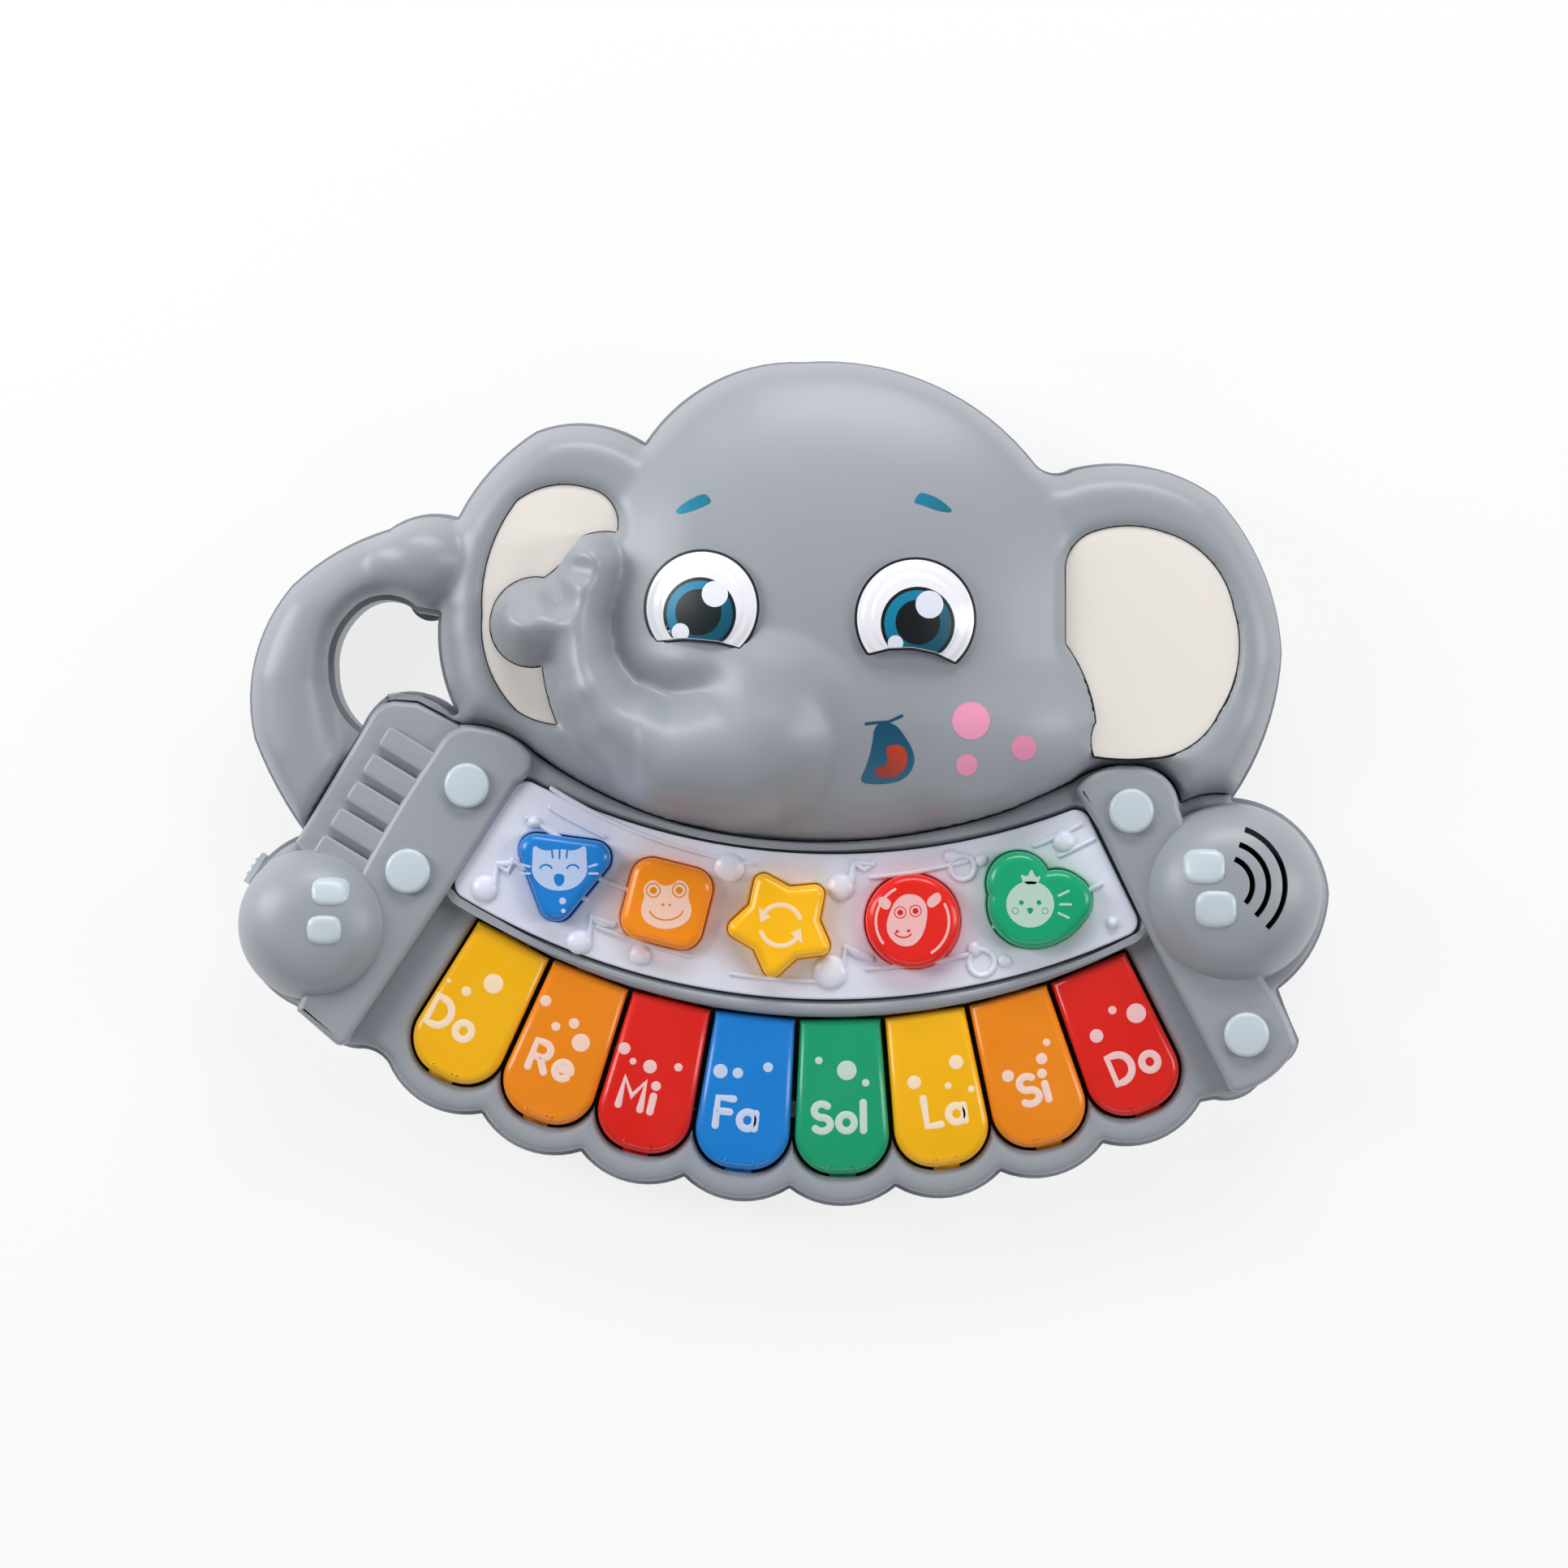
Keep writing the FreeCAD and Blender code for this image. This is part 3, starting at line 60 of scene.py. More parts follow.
# ---------------------------------------------------------------- materials
class Wire:
    """A number coming out of a node; sums of wires add Math nodes."""

    def __init__(self, finish, socket):
        self.finish = finish
        self.socket = socket

    def sum(self, operation, a, b):
        return self.finish.node("ShaderNodeMath", {"operation": operation}, {0: a, 1: b})

    def __add__(self, other):
        return self.sum("ADD", self, other)

    __radd__ = __add__

    def __sub__(self, other):
        return self.sum("SUBTRACT", self, other)

    def __rsub__(self, other):
        return self.sum("SUBTRACT", other, self)

    def __mul__(self, other):
        return self.sum("MULTIPLY", self, other)

    __rmul__ = __mul__

    def over(self, low, high):
        """0 under low and 1 over high, easing between."""
        return self.finish.node("ShaderNodeMapRange", {"interpolation_type": "SMOOTHSTEP"},
                                {0: self, 1: low, 2: high, 3: 0.0, 4: 1.0})


class Finish:
    """One material, built round a Principled shader."""

    def __init__(self, name, **uniform):
        self.material = bpy.data.materials.new(name)
        self.material.use_nodes = True
        self.tree = self.material.node_tree
        self.tree.nodes.clear()
        self.shader = self.tree.nodes.new("ShaderNodeBsdfPrincipled")
        out = self.tree.nodes.new("ShaderNodeOutputMaterial")
        self.tree.links.new(self.shader.outputs[0], out.inputs[0])
        for socket, value in uniform.items():
            self.shader.inputs[socket.replace("_", " ")].default_value = value
        self.place = self.node("ShaderNodeTexCoord", {}, {}, "Object")

    def node(self, kind, settings, inputs, output=0):
        made = self.tree.nodes.new(kind)
        for name, value in settings.items():
            setattr(made, name, value)
        for key, value in inputs.items():
            self.feed(made.inputs[key], value)
        return Wire(self, made.outputs[output])

    def feed(self, socket, value):
        if isinstance(value, Wire):
            self.tree.links.new(value.socket, socket)
        elif hasattr(socket.default_value, "__len__") and len(value) == 3 < len(socket.default_value):
            socket.default_value = (*value, 1.0)
        else:
            socket.default_value = value

    def noise(self, scale, detail=2.0, roughness=0.5, stretch=(1, 1, 1)):
        """Soft noise over the object, scale in spots per metre."""
        at = self.node("ShaderNodeMapping", {}, {"Vector": self.place, "Scale": stretch})
        return self.node("ShaderNodeTexNoise", {},
                         {"Vector": at, "Scale": scale, "Detail": detail, "Roughness": roughness})

    def axis(self, index):
        return self.node("ShaderNodeSeparateXYZ", {}, {0: self.place}, index)

    def mix(self, share, a, b):
        return self.node("ShaderNodeMix", {"data_type": "RGBA"}, {0: share, 6: a, 7: b}, 2)

    def near(self, x, y, reach):
        """1 at a place seen from above, falling softly to 0 at reach, both in millimetres."""
        dx = self.axis(0) - x * MM
        dy = self.axis(1) - y * MM
        away = self.node("ShaderNodeMath", {"operation": "SQRT"}, {0: dx * dx + dy * dy})
        return 1.0 - away.over(0.0, reach * MM)

    def bump(self, height, strength, distance=0.0001):
        made = self.node("ShaderNodeBump", {},
                         {"Strength": strength, "Distance": distance, "Height": height})
        self.set("Normal", made)

    def set(self, socket, value):
        self.feed(self.shader.inputs[socket], value)


def rgb(red, green, blue):
    """A colour given as on a colour chart, 0 to 255, made linear."""
    return tuple((c / 255 / 12.92) if c <= 10 else ((c / 255 + 0.055) / 1.055) ** 2.4
                 for c in (red, green, blue))


def darker(colour, share):
    return tuple(c * share for c in colour)


def paler(colour, share):
    return tuple(c + (1 - c) * share for c in colour)


def moulded(name, colour, roughness=0.4, grain=0.12, mottle=0.05, coat=0.0, uniform=None):
    """Injection-moulded plastic: fine spark grain, faint flow marks and rubbed patches."""
    finish = Finish(name, **(uniform or {}))
    grains = finish.noise(2600, 3.0, 0.6)
    flow = finish.noise(22, 4.0, 0.6, (1.0, 0.45, 1.0))
    rubbed = finish.noise(60, 6.0, 0.7).over(0.55, 0.8)
    base = finish.mix(flow, darker(colour, 1 - mottle), paler(colour, mottle * 0.6))
    base = finish.mix(rubbed * 0.06, base, paler(colour, 0.4))
    finish.set("Base Color", base)
    finish.set("Roughness", roughness + flow * 0.08 - rubbed * 0.07 + grains * 0.05)
    if coat:
        finish.set("Coat Weight", coat - rubbed * 0.1)
        finish.shader.inputs["Coat Roughness"].default_value = 0.12
    finish.bump(grains * 0.7 + flow * 0.3, grain)
    return finish


def glossy(name, colour, painted_glow=0.0):
    """Polished coloured plastic of the keys and buttons, with faint depth and hair scratches, and for the
    buttons a painted glow: emission, though they are no lamps.
    """
    finish = Finish(name, Specular_IOR_Level=0.35)
    depth = finish.noise(35, 3.0, 0.5)
    scratch = finish.noise(900, 2.0, 0.5, (1.0, 0.08, 1.0))
    wear = finish.noise(80, 6.0, 0.7).over(0.6, 0.8)
    finish.set("Base Color", finish.mix(depth, darker(colour, 0.9), paler(colour, 0.02)))
    finish.set("Roughness", 0.2 + depth * 0.06 + wear * 0.08 + scratch * 0.03)
    finish.set("Coat Weight", 0.22 - wear * 0.1)
    finish.shader.inputs["Coat Roughness"].default_value = 0.08
    # painted glow: the button gives off light of its own colour, though it is no lamp
    if painted_glow:
        finish.shader.inputs["Emission Strength"].default_value = painted_glow
        finish.set("Emission Color", finish.mix(depth, darker(colour, 0.8), colour))
    finish.bump(scratch * 0.5 + depth * 0.5, 0.05)
    return finish


def ink(name, colour, second, towards, middle, reach=8.0):
    """Pad-printed ink that shades into a second colour across the print."""
    finish = Finish(name)
    specks = finish.noise(1800, 3.0, 0.6)
    edge = finish.noise(140, 4.0, 0.6)
    base = finish.mix(edge * 0.5, colour, darker(colour, 0.86))
    along = ((finish.axis(0) - middle[0] * MM) * towards[0]
             + (finish.axis(1) - middle[1] * MM) * towards[1])
    base = finish.mix(along.over(-reach * MM, reach * MM), base, second)
    finish.set("Base Color", base)
    finish.set("Roughness", 0.34 + specks * 0.12)
    finish.bump(specks, 0.08)
    return finish


def metal(name, colour, roughness, stretch=(1, 1, 1), stain=0.3):
    finish = Finish(name)
    finish.shader.inputs["Metallic"].default_value = 1.0
    lines = finish.noise(1500, 3.0, 0.6, stretch)
    dull = finish.noise(120, 5.0, 0.65)
    finish.set("Base Color", finish.mix(dull * stain, colour, darker(colour, 0.6)))
    finish.set("Roughness", roughness + lines * 0.12 + dull * 0.12)
    finish.bump(lines, 0.1)
    return finish


GREY = rgb(153, 158, 166)
CREAM = rgb(236, 229, 222)
YELLOW = rgb(252, 186, 0)
ORANGE = rgb(243, 138, 6)
RED = rgb(226, 26, 12)
BLUE = rgb(8, 128, 214)
GREEN = rgb(2, 158, 108)
TINTS = {"yellow": YELLOW, "orange": ORANGE, "red": RED, "blue": BLUE, "green": GREEN}
KEY_TINTS = ("yellow", "orange", "red", "blue", "green", "yellow", "orange", "red")
BUTTON_PLACES = {"blue": (-58.5, -23), "orange": (-31, -31.4), "yellow": (-0.7, -36.7),
                 "red": (33.8, -36), "green": (66.5, -30)}


def shell_grey():
    finish = moulded("shell_grey", GREY, 0.38, 0.08, 0.03, 0.16)
    finish.shader.inputs["Specular IOR Level"].default_value = 0.6
    finish.shader.inputs["Coat Roughness"].default_value = 0.3
    return finish.material


def panel_frost():
    """Milky panel with a painted glow round the buttons: each button's colour, all but the blue one, mixed
    into the panel's colour near it.
    """
    base_colour = rgb(226, 228, 246)
    finish = Finish("panel_frost", Subsurface_Weight=0.15, Subsurface_Scale=0.003)
    cloud = finish.noise(30, 3.0, 0.55)
    grains = finish.noise(2400, 3.0, 0.6)
    base = finish.mix(cloud, darker(base_colour, 0.96), paler(base_colour, 0.25))
    # painted glow: coloured light from each button painted on to the panel within 24 mm of it
    for name, (x, y) in BUTTON_PLACES.items():
        if name != "blue":
            tint = finish.mix(0.62, paler(base_colour, 0.2), paler(TINTS[name], 0.25))
            base = finish.mix(finish.near(x, y, 24.0) * 0.75, base, tint)
    finish.set("Base Color", base)
    finish.set("Roughness", 0.3 + cloud * 0.08 + grains * 0.05)
    finish.set("Coat Weight", 0.2 + cloud * 0.1)
    finish.bump(grains, 0.07)
    return finish.material


def circuit_board():
    """Green solder mask over copper tracks, with silver pads."""
    finish = Finish("board_green")
    cells = finish.node("ShaderNodeTexVoronoi", {"feature": "DISTANCE_TO_EDGE"},
                        {"Vector": finish.place, "Scale": 260.0, "Randomness": 0.35})
    tracks = 1.0 - cells.over(0.03, 0.06)
    pads = 1.0 - finish.node("ShaderNodeTexVoronoi", {}, {"Vector": finish.place, "Scale": 240.0,
                                                         "Randomness": 0.2}).over(0.14, 0.2)
    base = finish.mix(tracks * 0.6, rgb(18, 92, 48), rgb(60, 140, 70))
    base = finish.mix(pads, base, rgb(205, 205, 198))
    finish.set("Base Color", base)
    finish.set("Roughness", 0.42 - pads * 0.15)
    finish.set("Metallic", pads * 0.8)
    finish.bump(tracks * 0.5 + pads, 0.3)
    return finish.material


def cell_jacket():
    """Printed sleeve of a plain dry cell: dark body with a pale band and steel ends."""
    finish = Finish("cell_jacket")
    along = finish.axis(0) - 12 * MM
    side = finish.node("ShaderNodeMath", {"operation": "ABSOLUTE"}, {0: along})
    ends = side.over(0.0236, 0.0242)
    band = (1.0 - finish.node("ShaderNodeMath", {"operation": "ABSOLUTE"},
                              {0: along - 0.012}).over(0.006, 0.0063))
    scuffs = finish.noise(300, 5.0, 0.7)
    base = finish.mix(band, rgb(38, 60, 84), rgb(214, 180, 92))
    base = finish.mix(ends, base, rgb(190, 192, 196))
    finish.set("Base Color", finish.mix(scuffs * 0.15, base, rgb(225, 225, 225)))
    finish.set("Metallic", ends * 0.9)
    finish.set("Roughness", 0.3 + scuffs * 0.15)
    finish.bump(scuffs, 0.08)
    return finish.material


def speaker_paper():
    finish = Finish("speaker_paper")
    fibres = finish.noise(1400, 6.0, 0.7)
    finish.set("Base Color", finish.mix(fibres, rgb(30, 29, 28), rgb(70, 67, 62)))
    finish.set("Roughness", 0.8 + fibres * 0.15)
    finish.bump(fibres, 0.5)
    return finish.material


FINISHES = {
    "shell_grey": shell_grey(),
    "ear_cream": moulded("ear_cream", CREAM, 0.42, 0.1, 0.03).material,
    "eye_white": moulded("eye_white", rgb(243, 243, 250), 0.24, 0.04, 0.015, 0.4).material,
    "panel_frost": panel_frost(),
    "trim_pale": moulded("trim_pale", rgb(197, 209, 217), 0.3, 0.06, 0.03, 0.2).material,
    "dome_rubber": moulded("dome_rubber", rgb(205, 205, 198), 0.62, 0.2, 0.06).material,
    "inner_black": moulded("inner_black", rgb(34, 35, 37), 0.5, 0.25, 0.1).material,
    "chip_black": moulded("chip_black", rgb(24, 24, 26), 0.42, 0.3, 0.15).material,
    "led_clear": moulded("led_clear", rgb(225, 232, 236), 0.12, 0.03, 0.03, 0.6,
                         {"Transmission_Weight": 0.5}).material,
    "board_green": circuit_board(),
    "cell_jacket": cell_jacket(),
    "speaker_paper": speaker_paper(),
    "screw_steel": metal("screw_steel", rgb(196, 198, 202), 0.25).material,
    "speaker_steel": metal("speaker_steel", rgb(170, 172, 176), 0.3, (1, 1, 0.1)).material,
    "magnet_iron": metal("magnet_iron", rgb(88, 88, 92), 0.45, (1, 1, 1), 0.6).material,
    "contact_steel": metal("contact_steel", rgb(214, 212, 204), 0.22, (1, 0.1, 1)).material,
}
for tint, colour in TINTS.items():
    FINISHES["key_" + tint] = glossy("key_" + tint, colour).material
    # painted glow on every button but the blue one
    painted_glow_strength = 0.0 if tint == "blue" else 0.12
    FINISHES["button_" + tint] = glossy("button_" + tint, colour, painted_glow_strength).material
PRINTS = {
    "teal": ink("print_teal", rgb(0, 132, 170), rgb(0, 84, 108), (1, -1), (-22, 44), 9.0).material,
    "teal_right": ink("print_teal_right", rgb(0, 128, 164), rgb(0, 80, 104), (1, -1),
                      (34.5, 41.5), 9.0).material,
    "brow": ink("print_brow", rgb(0, 138, 176), rgb(0, 112, 140), (1, 0.3), (-24, 73)).material,
    "brow_right": ink("print_brow_right", rgb(0, 124, 158), rgb(0, 104, 124), (1, -0.3),
                      (38.5, 73)).material,
    "mouth": ink("print_mouth", rgb(0, 96, 128), rgb(0, 78, 110), (0, 1), (28, 8)).material,
    "tongue": ink("print_tongue", rgb(206, 62, 30), rgb(158, 38, 22), (-1, -1), (28, 6)).material,
    "pink": ink("print_pink", rgb(240, 156, 190), rgb(228, 140, 176), (1, -1), (55, 10)).material,
    # dark ink: real print for the irises and pupils, and also painted shadow for the dark lines in the gaps
    # round set-in pieces
    "dark": ink("print_dark", rgb(10, 26, 32), rgb(4, 12, 16), (1, -1), (0, 44), 12.0).material,
    "glint": ink("print_glint", rgb(240, 242, 252), rgb(226, 230, 246), (1, -1), (0, 44)).material,
}
for tint, colour in TINTS.items():
    PRINTS["pale_" + tint] = ink("print_pale_" + tint, paler(colour, 0.58),
                                 paler(colour, 0.48), (0, 1), (0, -60), 30.0).material
    PRINTS["line_" + tint] = ink("print_line_" + tint, colour, darker(colour, 0.85), (0, 1),
                                 (0, -32), 20.0).material


# ---------------------------------------------------------------- outlines
def arc_points(a, b, c, step):
    """Points from a through b to c along one circle, without a itself."""
    d = 2 * (a[0] * (b[1] - c[1]) + b[0] * (c[1] - a[1]) + c[0] * (a[1] - b[1]))
    squares = [p[0] ** 2 + p[1] ** 2 for p in (a, b, c)]
    cx = (squares[0] * (b[1] - c[1]) + squares[1] * (c[1] - a[1]) + squares[2] * (a[1] - b[1])) / d
    cy = (squares[0] * (c[0] - b[0]) + squares[1] * (a[0] - c[0]) + squares[2] * (b[0] - a[0])) / d
    radius = math.hypot(a[0] - cx, a[1] - cy)
    start, through, end = (math.atan2(p[1] - cy, p[0] - cx) for p in (a, b, c))
    turn = (end - start) % (2 * math.pi)
    if (through - start) % (2 * math.pi) > turn:
        turn -= 2 * math.pi
    count = max(2, math.ceil(abs(turn) * radius / step))
    return [(cx + radius * math.cos(start + turn * k / count),
             cy + radius * math.sin(start + turn * k / count)) for k in range(1, count + 1)]


def drawn(runs, step=0.8):
    """A closed outline from runs: two numbers end a straight run, four an arc."""
    points = [runs[0]]
    for run in runs[1:]:
        if len(run) == 4:
            points += arc_points(points[-1], run[:2], run[2:], step)
        else:
            points.append(run)
    if math.dist(points[0], points[-1]) < 0.01:
        points.pop()
    return points


def oval(x, y, rx, ry=None, count=40, start=0.0, end=360.0):
    """An ellipse, or the part of it between two angles in degrees."""
    ry = rx if ry is None else ry
    points = []
    full = abs(end - start) >= 360
    for k in range(count if full else count + 1):
        a = math.radians(start + (end - start) * k / count)
        points.append((x + rx * math.cos(a), y + ry * math.sin(a)))
    return points


def smooth_loop(points, rounds=2):
    """Corner cutting: each round cuts every corner of a given outline in two."""
    for _ in range(rounds):
        cut = []
        for a, b in zip(points, points[1:] + points[:1]):
            cut.append((a[0] * 0.75 + b[0] * 0.25, a[1] * 0.75 + b[1] * 0.25))
            cut.append((a[0] * 0.25 + b[0] * 0.75, a[1] * 0.25 + b[1] * 0.75))
        points = cut
    return points


def area_of(loop):
    return 0.5 * sum(a[0] * b[1] - b[0] * a[1] for a, b in zip(loop, loop[1:] + loop[:1]))


def inside(point, loop):
    x, y = point
    odd = False
    for (ax, ay), (bx, by) in zip(loop, loop[1:] + loop[:1]):
        if (ay > y) != (by > y) and x < ax + (y - ay) * (bx - ax) / (by - ay):
            odd = not odd
    return odd


def cad_copy(node):
    """A merged copy of a CAD node's mesh as a bmesh."""
    bm = bmesh.new()
    bm.from_mesh(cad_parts[node].data)
    bmesh.ops.remove_doubles(bm, verts=bm.verts, dist=2e-6)
    return bm


def section(node, height):
    """Closed outlines where a level plane cuts a CAD node, the largest first."""
    bm = cad_copy(node)
    bmesh.ops.bisect_plane(bm, geom=bm.verts[:] + bm.edges[:] + bm.faces[:], dist=1e-7,
                           plane_co=(0, 0, height * MM), plane_no=(0, 0, 1),
                           clear_inner=True, clear_outer=True)
    bmesh.ops.remove_doubles(bm, verts=bm.verts, dist=4e-6)
    loops = []
    left = set(bm.verts)
    while left:
        vert = left.pop()
        loop = [vert]
        while True:
            following = [e.other_vert(vert) for e in vert.link_edges]
            following = [v for v in following if v in left]
            if not following:
                break
            vert = following[0]
            left.discard(vert)
            loop.append(vert)
        points = [(v.co.x / MM, v.co.y / MM) for v in loop]
        if len(points) > 2:
            loops.append(straightened(points))
    bm.free()
    return sorted(loops, key=lambda loop: -abs(area_of(loop)))


def straightened(points):
    """The outline without points that lie on a straight stretch."""
    kept = []
    for a, b, c in zip(points[-1:] + points[:-1], points, points[1:] + points[:1]):
        cross = (b[0] - a[0]) * (c[1] - b[1]) - (b[1] - a[1]) * (c[0] - b[0])
        if abs(cross) > 1e-4 * math.dist(a, c):
            kept.append(b)
    return kept


def resampled(loop, step):
    """More points along an outline, so that a distance can be read from the nearest."""
    points = []
    for a, b in zip(loop, loop[1:] + loop[:1]):
        count = max(1, math.ceil(math.dist(a, b) / step))
        points += [(a[0] + (b[0] - a[0]) * k / count, a[1] + (b[1] - a[1]) * k / count)
                   for k in range(count)]
    return points


class Nearest:
    """Distance from a place to the nearest of some outlines."""

    def __init__(self, loops, step=0.25):
        points = [p for loop in loops for p in resampled(loop, step)]
        self.tree = kdtree.KDTree(len(points))
        for index, (x, y) in enumerate(points):
            self.tree.insert((x, y, 0), index)
        self.tree.balance()

    def __call__(self, x, y):
        return self.tree.find((x, y, 0))[2]


# ---------------------------------------------------------------- making pieces
def piece(name, bm, finish, body=HOUSING, smooth=35.0):
    """A finished object from a bmesh in millimetres, riding on a body."""
    bmesh.ops.transform(bm, matrix=Matrix.Scale(MM, 4), verts=bm.verts)
    mesh = bpy.data.meshes.new(name)
    bm.to_mesh(mesh)
    bm.free()
    mesh.materials.append(finish)
    mesh.shade_smooth()
    if smooth < 180:
        mesh.set_sharp_from_angle(angle=math.radians(smooth))
    made = bpy.data.objects.new(name, mesh)
    bpy.context.scene.collection.objects.link(made)
    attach(made, body)
    return made


def curve_mesh(loops, half, bevel=0.0, steps=4):
    """Filled outlines with a given half thickness about z = 0, their edges rounded."""
    curve = bpy.data.curves.new("outline", "CURVE")
    curve.dimensions = "2D"
    curve.fill_mode = "BOTH"
    for loop in loops:
        spline = curve.splines.new("POLY")
        spline.points.add(len(loop) - 1)
        for point, (x, y) in zip(spline.points, loop):
            point.co = (x, y, 0, 1)
        spline.use_cyclic_u = True
    curve.extrude = half - bevel
    curve.bevel_depth = bevel
    curve.bevel_resolution = steps
    curve.offset = -bevel
    holder = bpy.data.objects.new("outline", curve)
    mesh = bpy.data.meshes.new_from_object(holder)
    bpy.data.objects.remove(holder)
    bpy.data.curves.remove(curve)
    bm = bmesh.new()
    bm.from_mesh(mesh)
    bpy.data.meshes.remove(mesh)
    bmesh.ops.remove_doubles(bm, verts=bm.verts, dist=0.002)
    return bm


def plate(loops, low, high, bevel, steps=5):
    """A plate between two heights with its upper edges rounded."""
    depth = high - low + bevel + 1
    bm = curve_mesh(loops, depth / 2, bevel, steps)
    bmesh.ops.translate(bm, verts=bm.verts, vec=(0, 0, high - depth / 2))
    cut_off(bm, low, above=False)
    bmesh.ops.recalc_face_normals(bm, faces=bm.faces)
    return bm


def cut_off(bm, height, above):
    """Cuts a closed mesh level, drops one side and closes the cut."""
    geom = bm.verts[:] + bm.edges[:] + bm.faces[:]
    cut = bmesh.ops.bisect_plane(bm, geom=geom, dist=1e-6, plane_co=(0, 0, height),
                                 plane_no=(0, 0, 1), clear_inner=not above, clear_outer=above)
    rim = [e for e in cut["geom_cut"] if isinstance(e, bmesh.types.BMEdge)]
    bmesh.ops.triangle_fill(bm, use_beauty=True, use_dissolve=False, edges=rim)


def added(target, other):
    """Puts one bmesh's geometry into another and drops it."""
    mesh = bpy.data.meshes.new("joined")
    other.to_mesh(mesh)
    other.free()
    target.from_mesh(mesh)
    bpy.data.meshes.remove(mesh)
    return target


def cad_part(node, height):
    """The part of a CAD node below a height, closed at the cut, in millimetres."""
    bm = cad_copy(node)
    bmesh.ops.transform(bm, matrix=Matrix.Scale(1 / MM, 4), verts=bm.verts)
    cut_off(bm, height, above=True)
    return bm


def boolean(bm, tool, operation):
    """The exact Boolean of two closed bmeshes; both are used up."""
    objects = []
    for source in (bm, tool):
        mesh = bpy.data.meshes.new("boolean")
        source.to_mesh(mesh)
        source.free()
        made = bpy.data.objects.new("boolean", mesh)
        bpy.context.scene.collection.objects.link(made)
        objects.append(made)
    change = objects[0].modifiers.new("cut", "BOOLEAN")
    change.operation = operation
    change.solver = "EXACT"
    change.object = objects[1]
    graph = bpy.context.evaluated_depsgraph_get()
    result = bmesh.new()
    result.from_mesh(objects[0].evaluated_get(graph).data)
    for made in objects:
        mesh = made.data
        bpy.data.objects.remove(made)
        bpy.data.meshes.remove(mesh)
    return result


def cells(loops, size):
    """A slab of small cells from z = 0 to 1, trimmed to outlines."""
    xs = [p[0] for loop in loops for p in loop]
    ys = [p[1] for loop in loops for p in loop]
    wide, high = max(xs) - min(xs) + 2 * size, max(ys) - min(ys) + 2 * size
    middle = Vector(((max(xs) + min(xs)) / 2 + 0.0137, (max(ys) + min(ys)) / 2 + 0.0211, 1.0))
    bm = bmesh.new()
    scale = Matrix.Diagonal((wide / 2, high / 2, 1, 1))
    bmesh.ops.create_grid(bm, x_segments=math.ceil(wide / size), y_segments=math.ceil(high / size),
                          size=1.0, matrix=Matrix.Translation(middle) @ scale)
    bottom = bmesh.ops.extrude_face_region(bm, geom=bm.faces[:])
    bmesh.ops.translate(bm, vec=(0, 0, -1),
                        verts=[v for v in bottom["geom"] if isinstance(v, bmesh.types.BMVert)])
    bmesh.ops.recalc_face_normals(bm, faces=bm.faces)
    tool = curve_mesh(loops, 2.0)
    bmesh.ops.recalc_face_normals(tool, faces=tool.faces)
    result = boolean(bm, tool, "INTERSECT")
    bmesh.ops.remove_doubles(result, verts=result.verts, dist=0.004)
    return result


def relief(loops, size, top, bottom):
    """A trimmed slab whose upper and lower skins follow two heights over each place."""
    bm = cells(loops, size)
    for vert in bm.verts:
        x, y, z = vert.co
        vert.co.z = top(x, y) if z > 0.5 else bottom(x, y)
    bmesh.ops.recalc_face_normals(bm, faces=bm.faces)
    return bm


def lathe(x, y, profile, steps=48):
    """A turned piece from (radius, height) points that start and end on its axis."""
    bm = bmesh.new()
    verts = [bm.verts.new((x + r, y, z)) for r, z in profile]
    edges = [bm.edges.new(pair) for pair in zip(verts, verts[1:])]
    bmesh.ops.spin(bm, geom=verts + edges, cent=(x, y, 0), axis=(0, 0, 1),
                   angle=2 * math.pi, steps=steps, use_merge=True)
    bmesh.ops.remove_doubles(bm, verts=bm.verts, dist=0.001)
    bmesh.ops.recalc_face_normals(bm, faces=bm.faces)
    return bm


def stroke(points, width, closed=False, flat=0.1):
    """A round-ended line with a given width, lying flat on z = 0, its height flat times that."""
    curve = bpy.data.curves.new("stroke", "CURVE")
    curve.dimensions = "3D"
    curve.bevel_depth = width / 2
    curve.bevel_resolution = 3
    curve.use_fill_caps = not closed
    spline = curve.splines.new("POLY")
    spline.points.add(len(points) - 1)
    for point, (x, y) in zip(spline.points, points):
        point.co = (x, y, 0, 1)
    spline.use_cyclic_u = closed
    holder = bpy.data.objects.new("stroke", curve)
    mesh = bpy.data.meshes.new_from_object(holder)
    bpy.data.objects.remove(holder)
    bpy.data.curves.remove(curve)
    bm = bmesh.new()
    bm.from_mesh(mesh)
    bpy.data.meshes.remove(mesh)
    if not closed:
        for x, y in (points[0], points[-1]):
            bmesh.ops.create_uvsphere(bm, u_segments=16, v_segments=8, radius=width / 2,
                                      matrix=Matrix.Translation((x, y, 0)))
    bmesh.ops.transform(bm, matrix=Matrix.Diagonal((1, 1, flat, 1)), verts=bm.verts)
    bmesh.ops.recalc_face_normals(bm, faces=bm.faces)
    return bm


def pebble(x, y, radius, low, rise):
    """A low round button of plastic or ink, a flattened ball."""
    bm = bmesh.new()
    matrix = Matrix.Translation((x, y, low)) @ Matrix.Diagonal((1, 1, rise / radius, 1))
    bmesh.ops.create_uvsphere(bm, u_segments=32, v_segments=16, radius=radius, matrix=matrix)
    return bm


def lifted(bm, surface, proud=0.0):
    """Bends a flat print on to a surface given by its height over each place."""
    for vert in bm.verts:
        vert.co.z += surface(vert.co.x, vert.co.y) + proud
    return bm


def raised(bm, height):
    bmesh.ops.translate(bm, verts=bm.verts, vec=(0, 0, height))
    return bm


def gap_shadow_line(name, loop, surface, width=0.6):
    """A painted shadow: a dark strip laid in the gap round a set-in piece, standing in for the shade in that
    gap.
    """
    bm = stroke(resampled(loop, 0.8), width, True, 0.5)
    return piece(name, lifted(bm, surface), PRINTS["dark"])


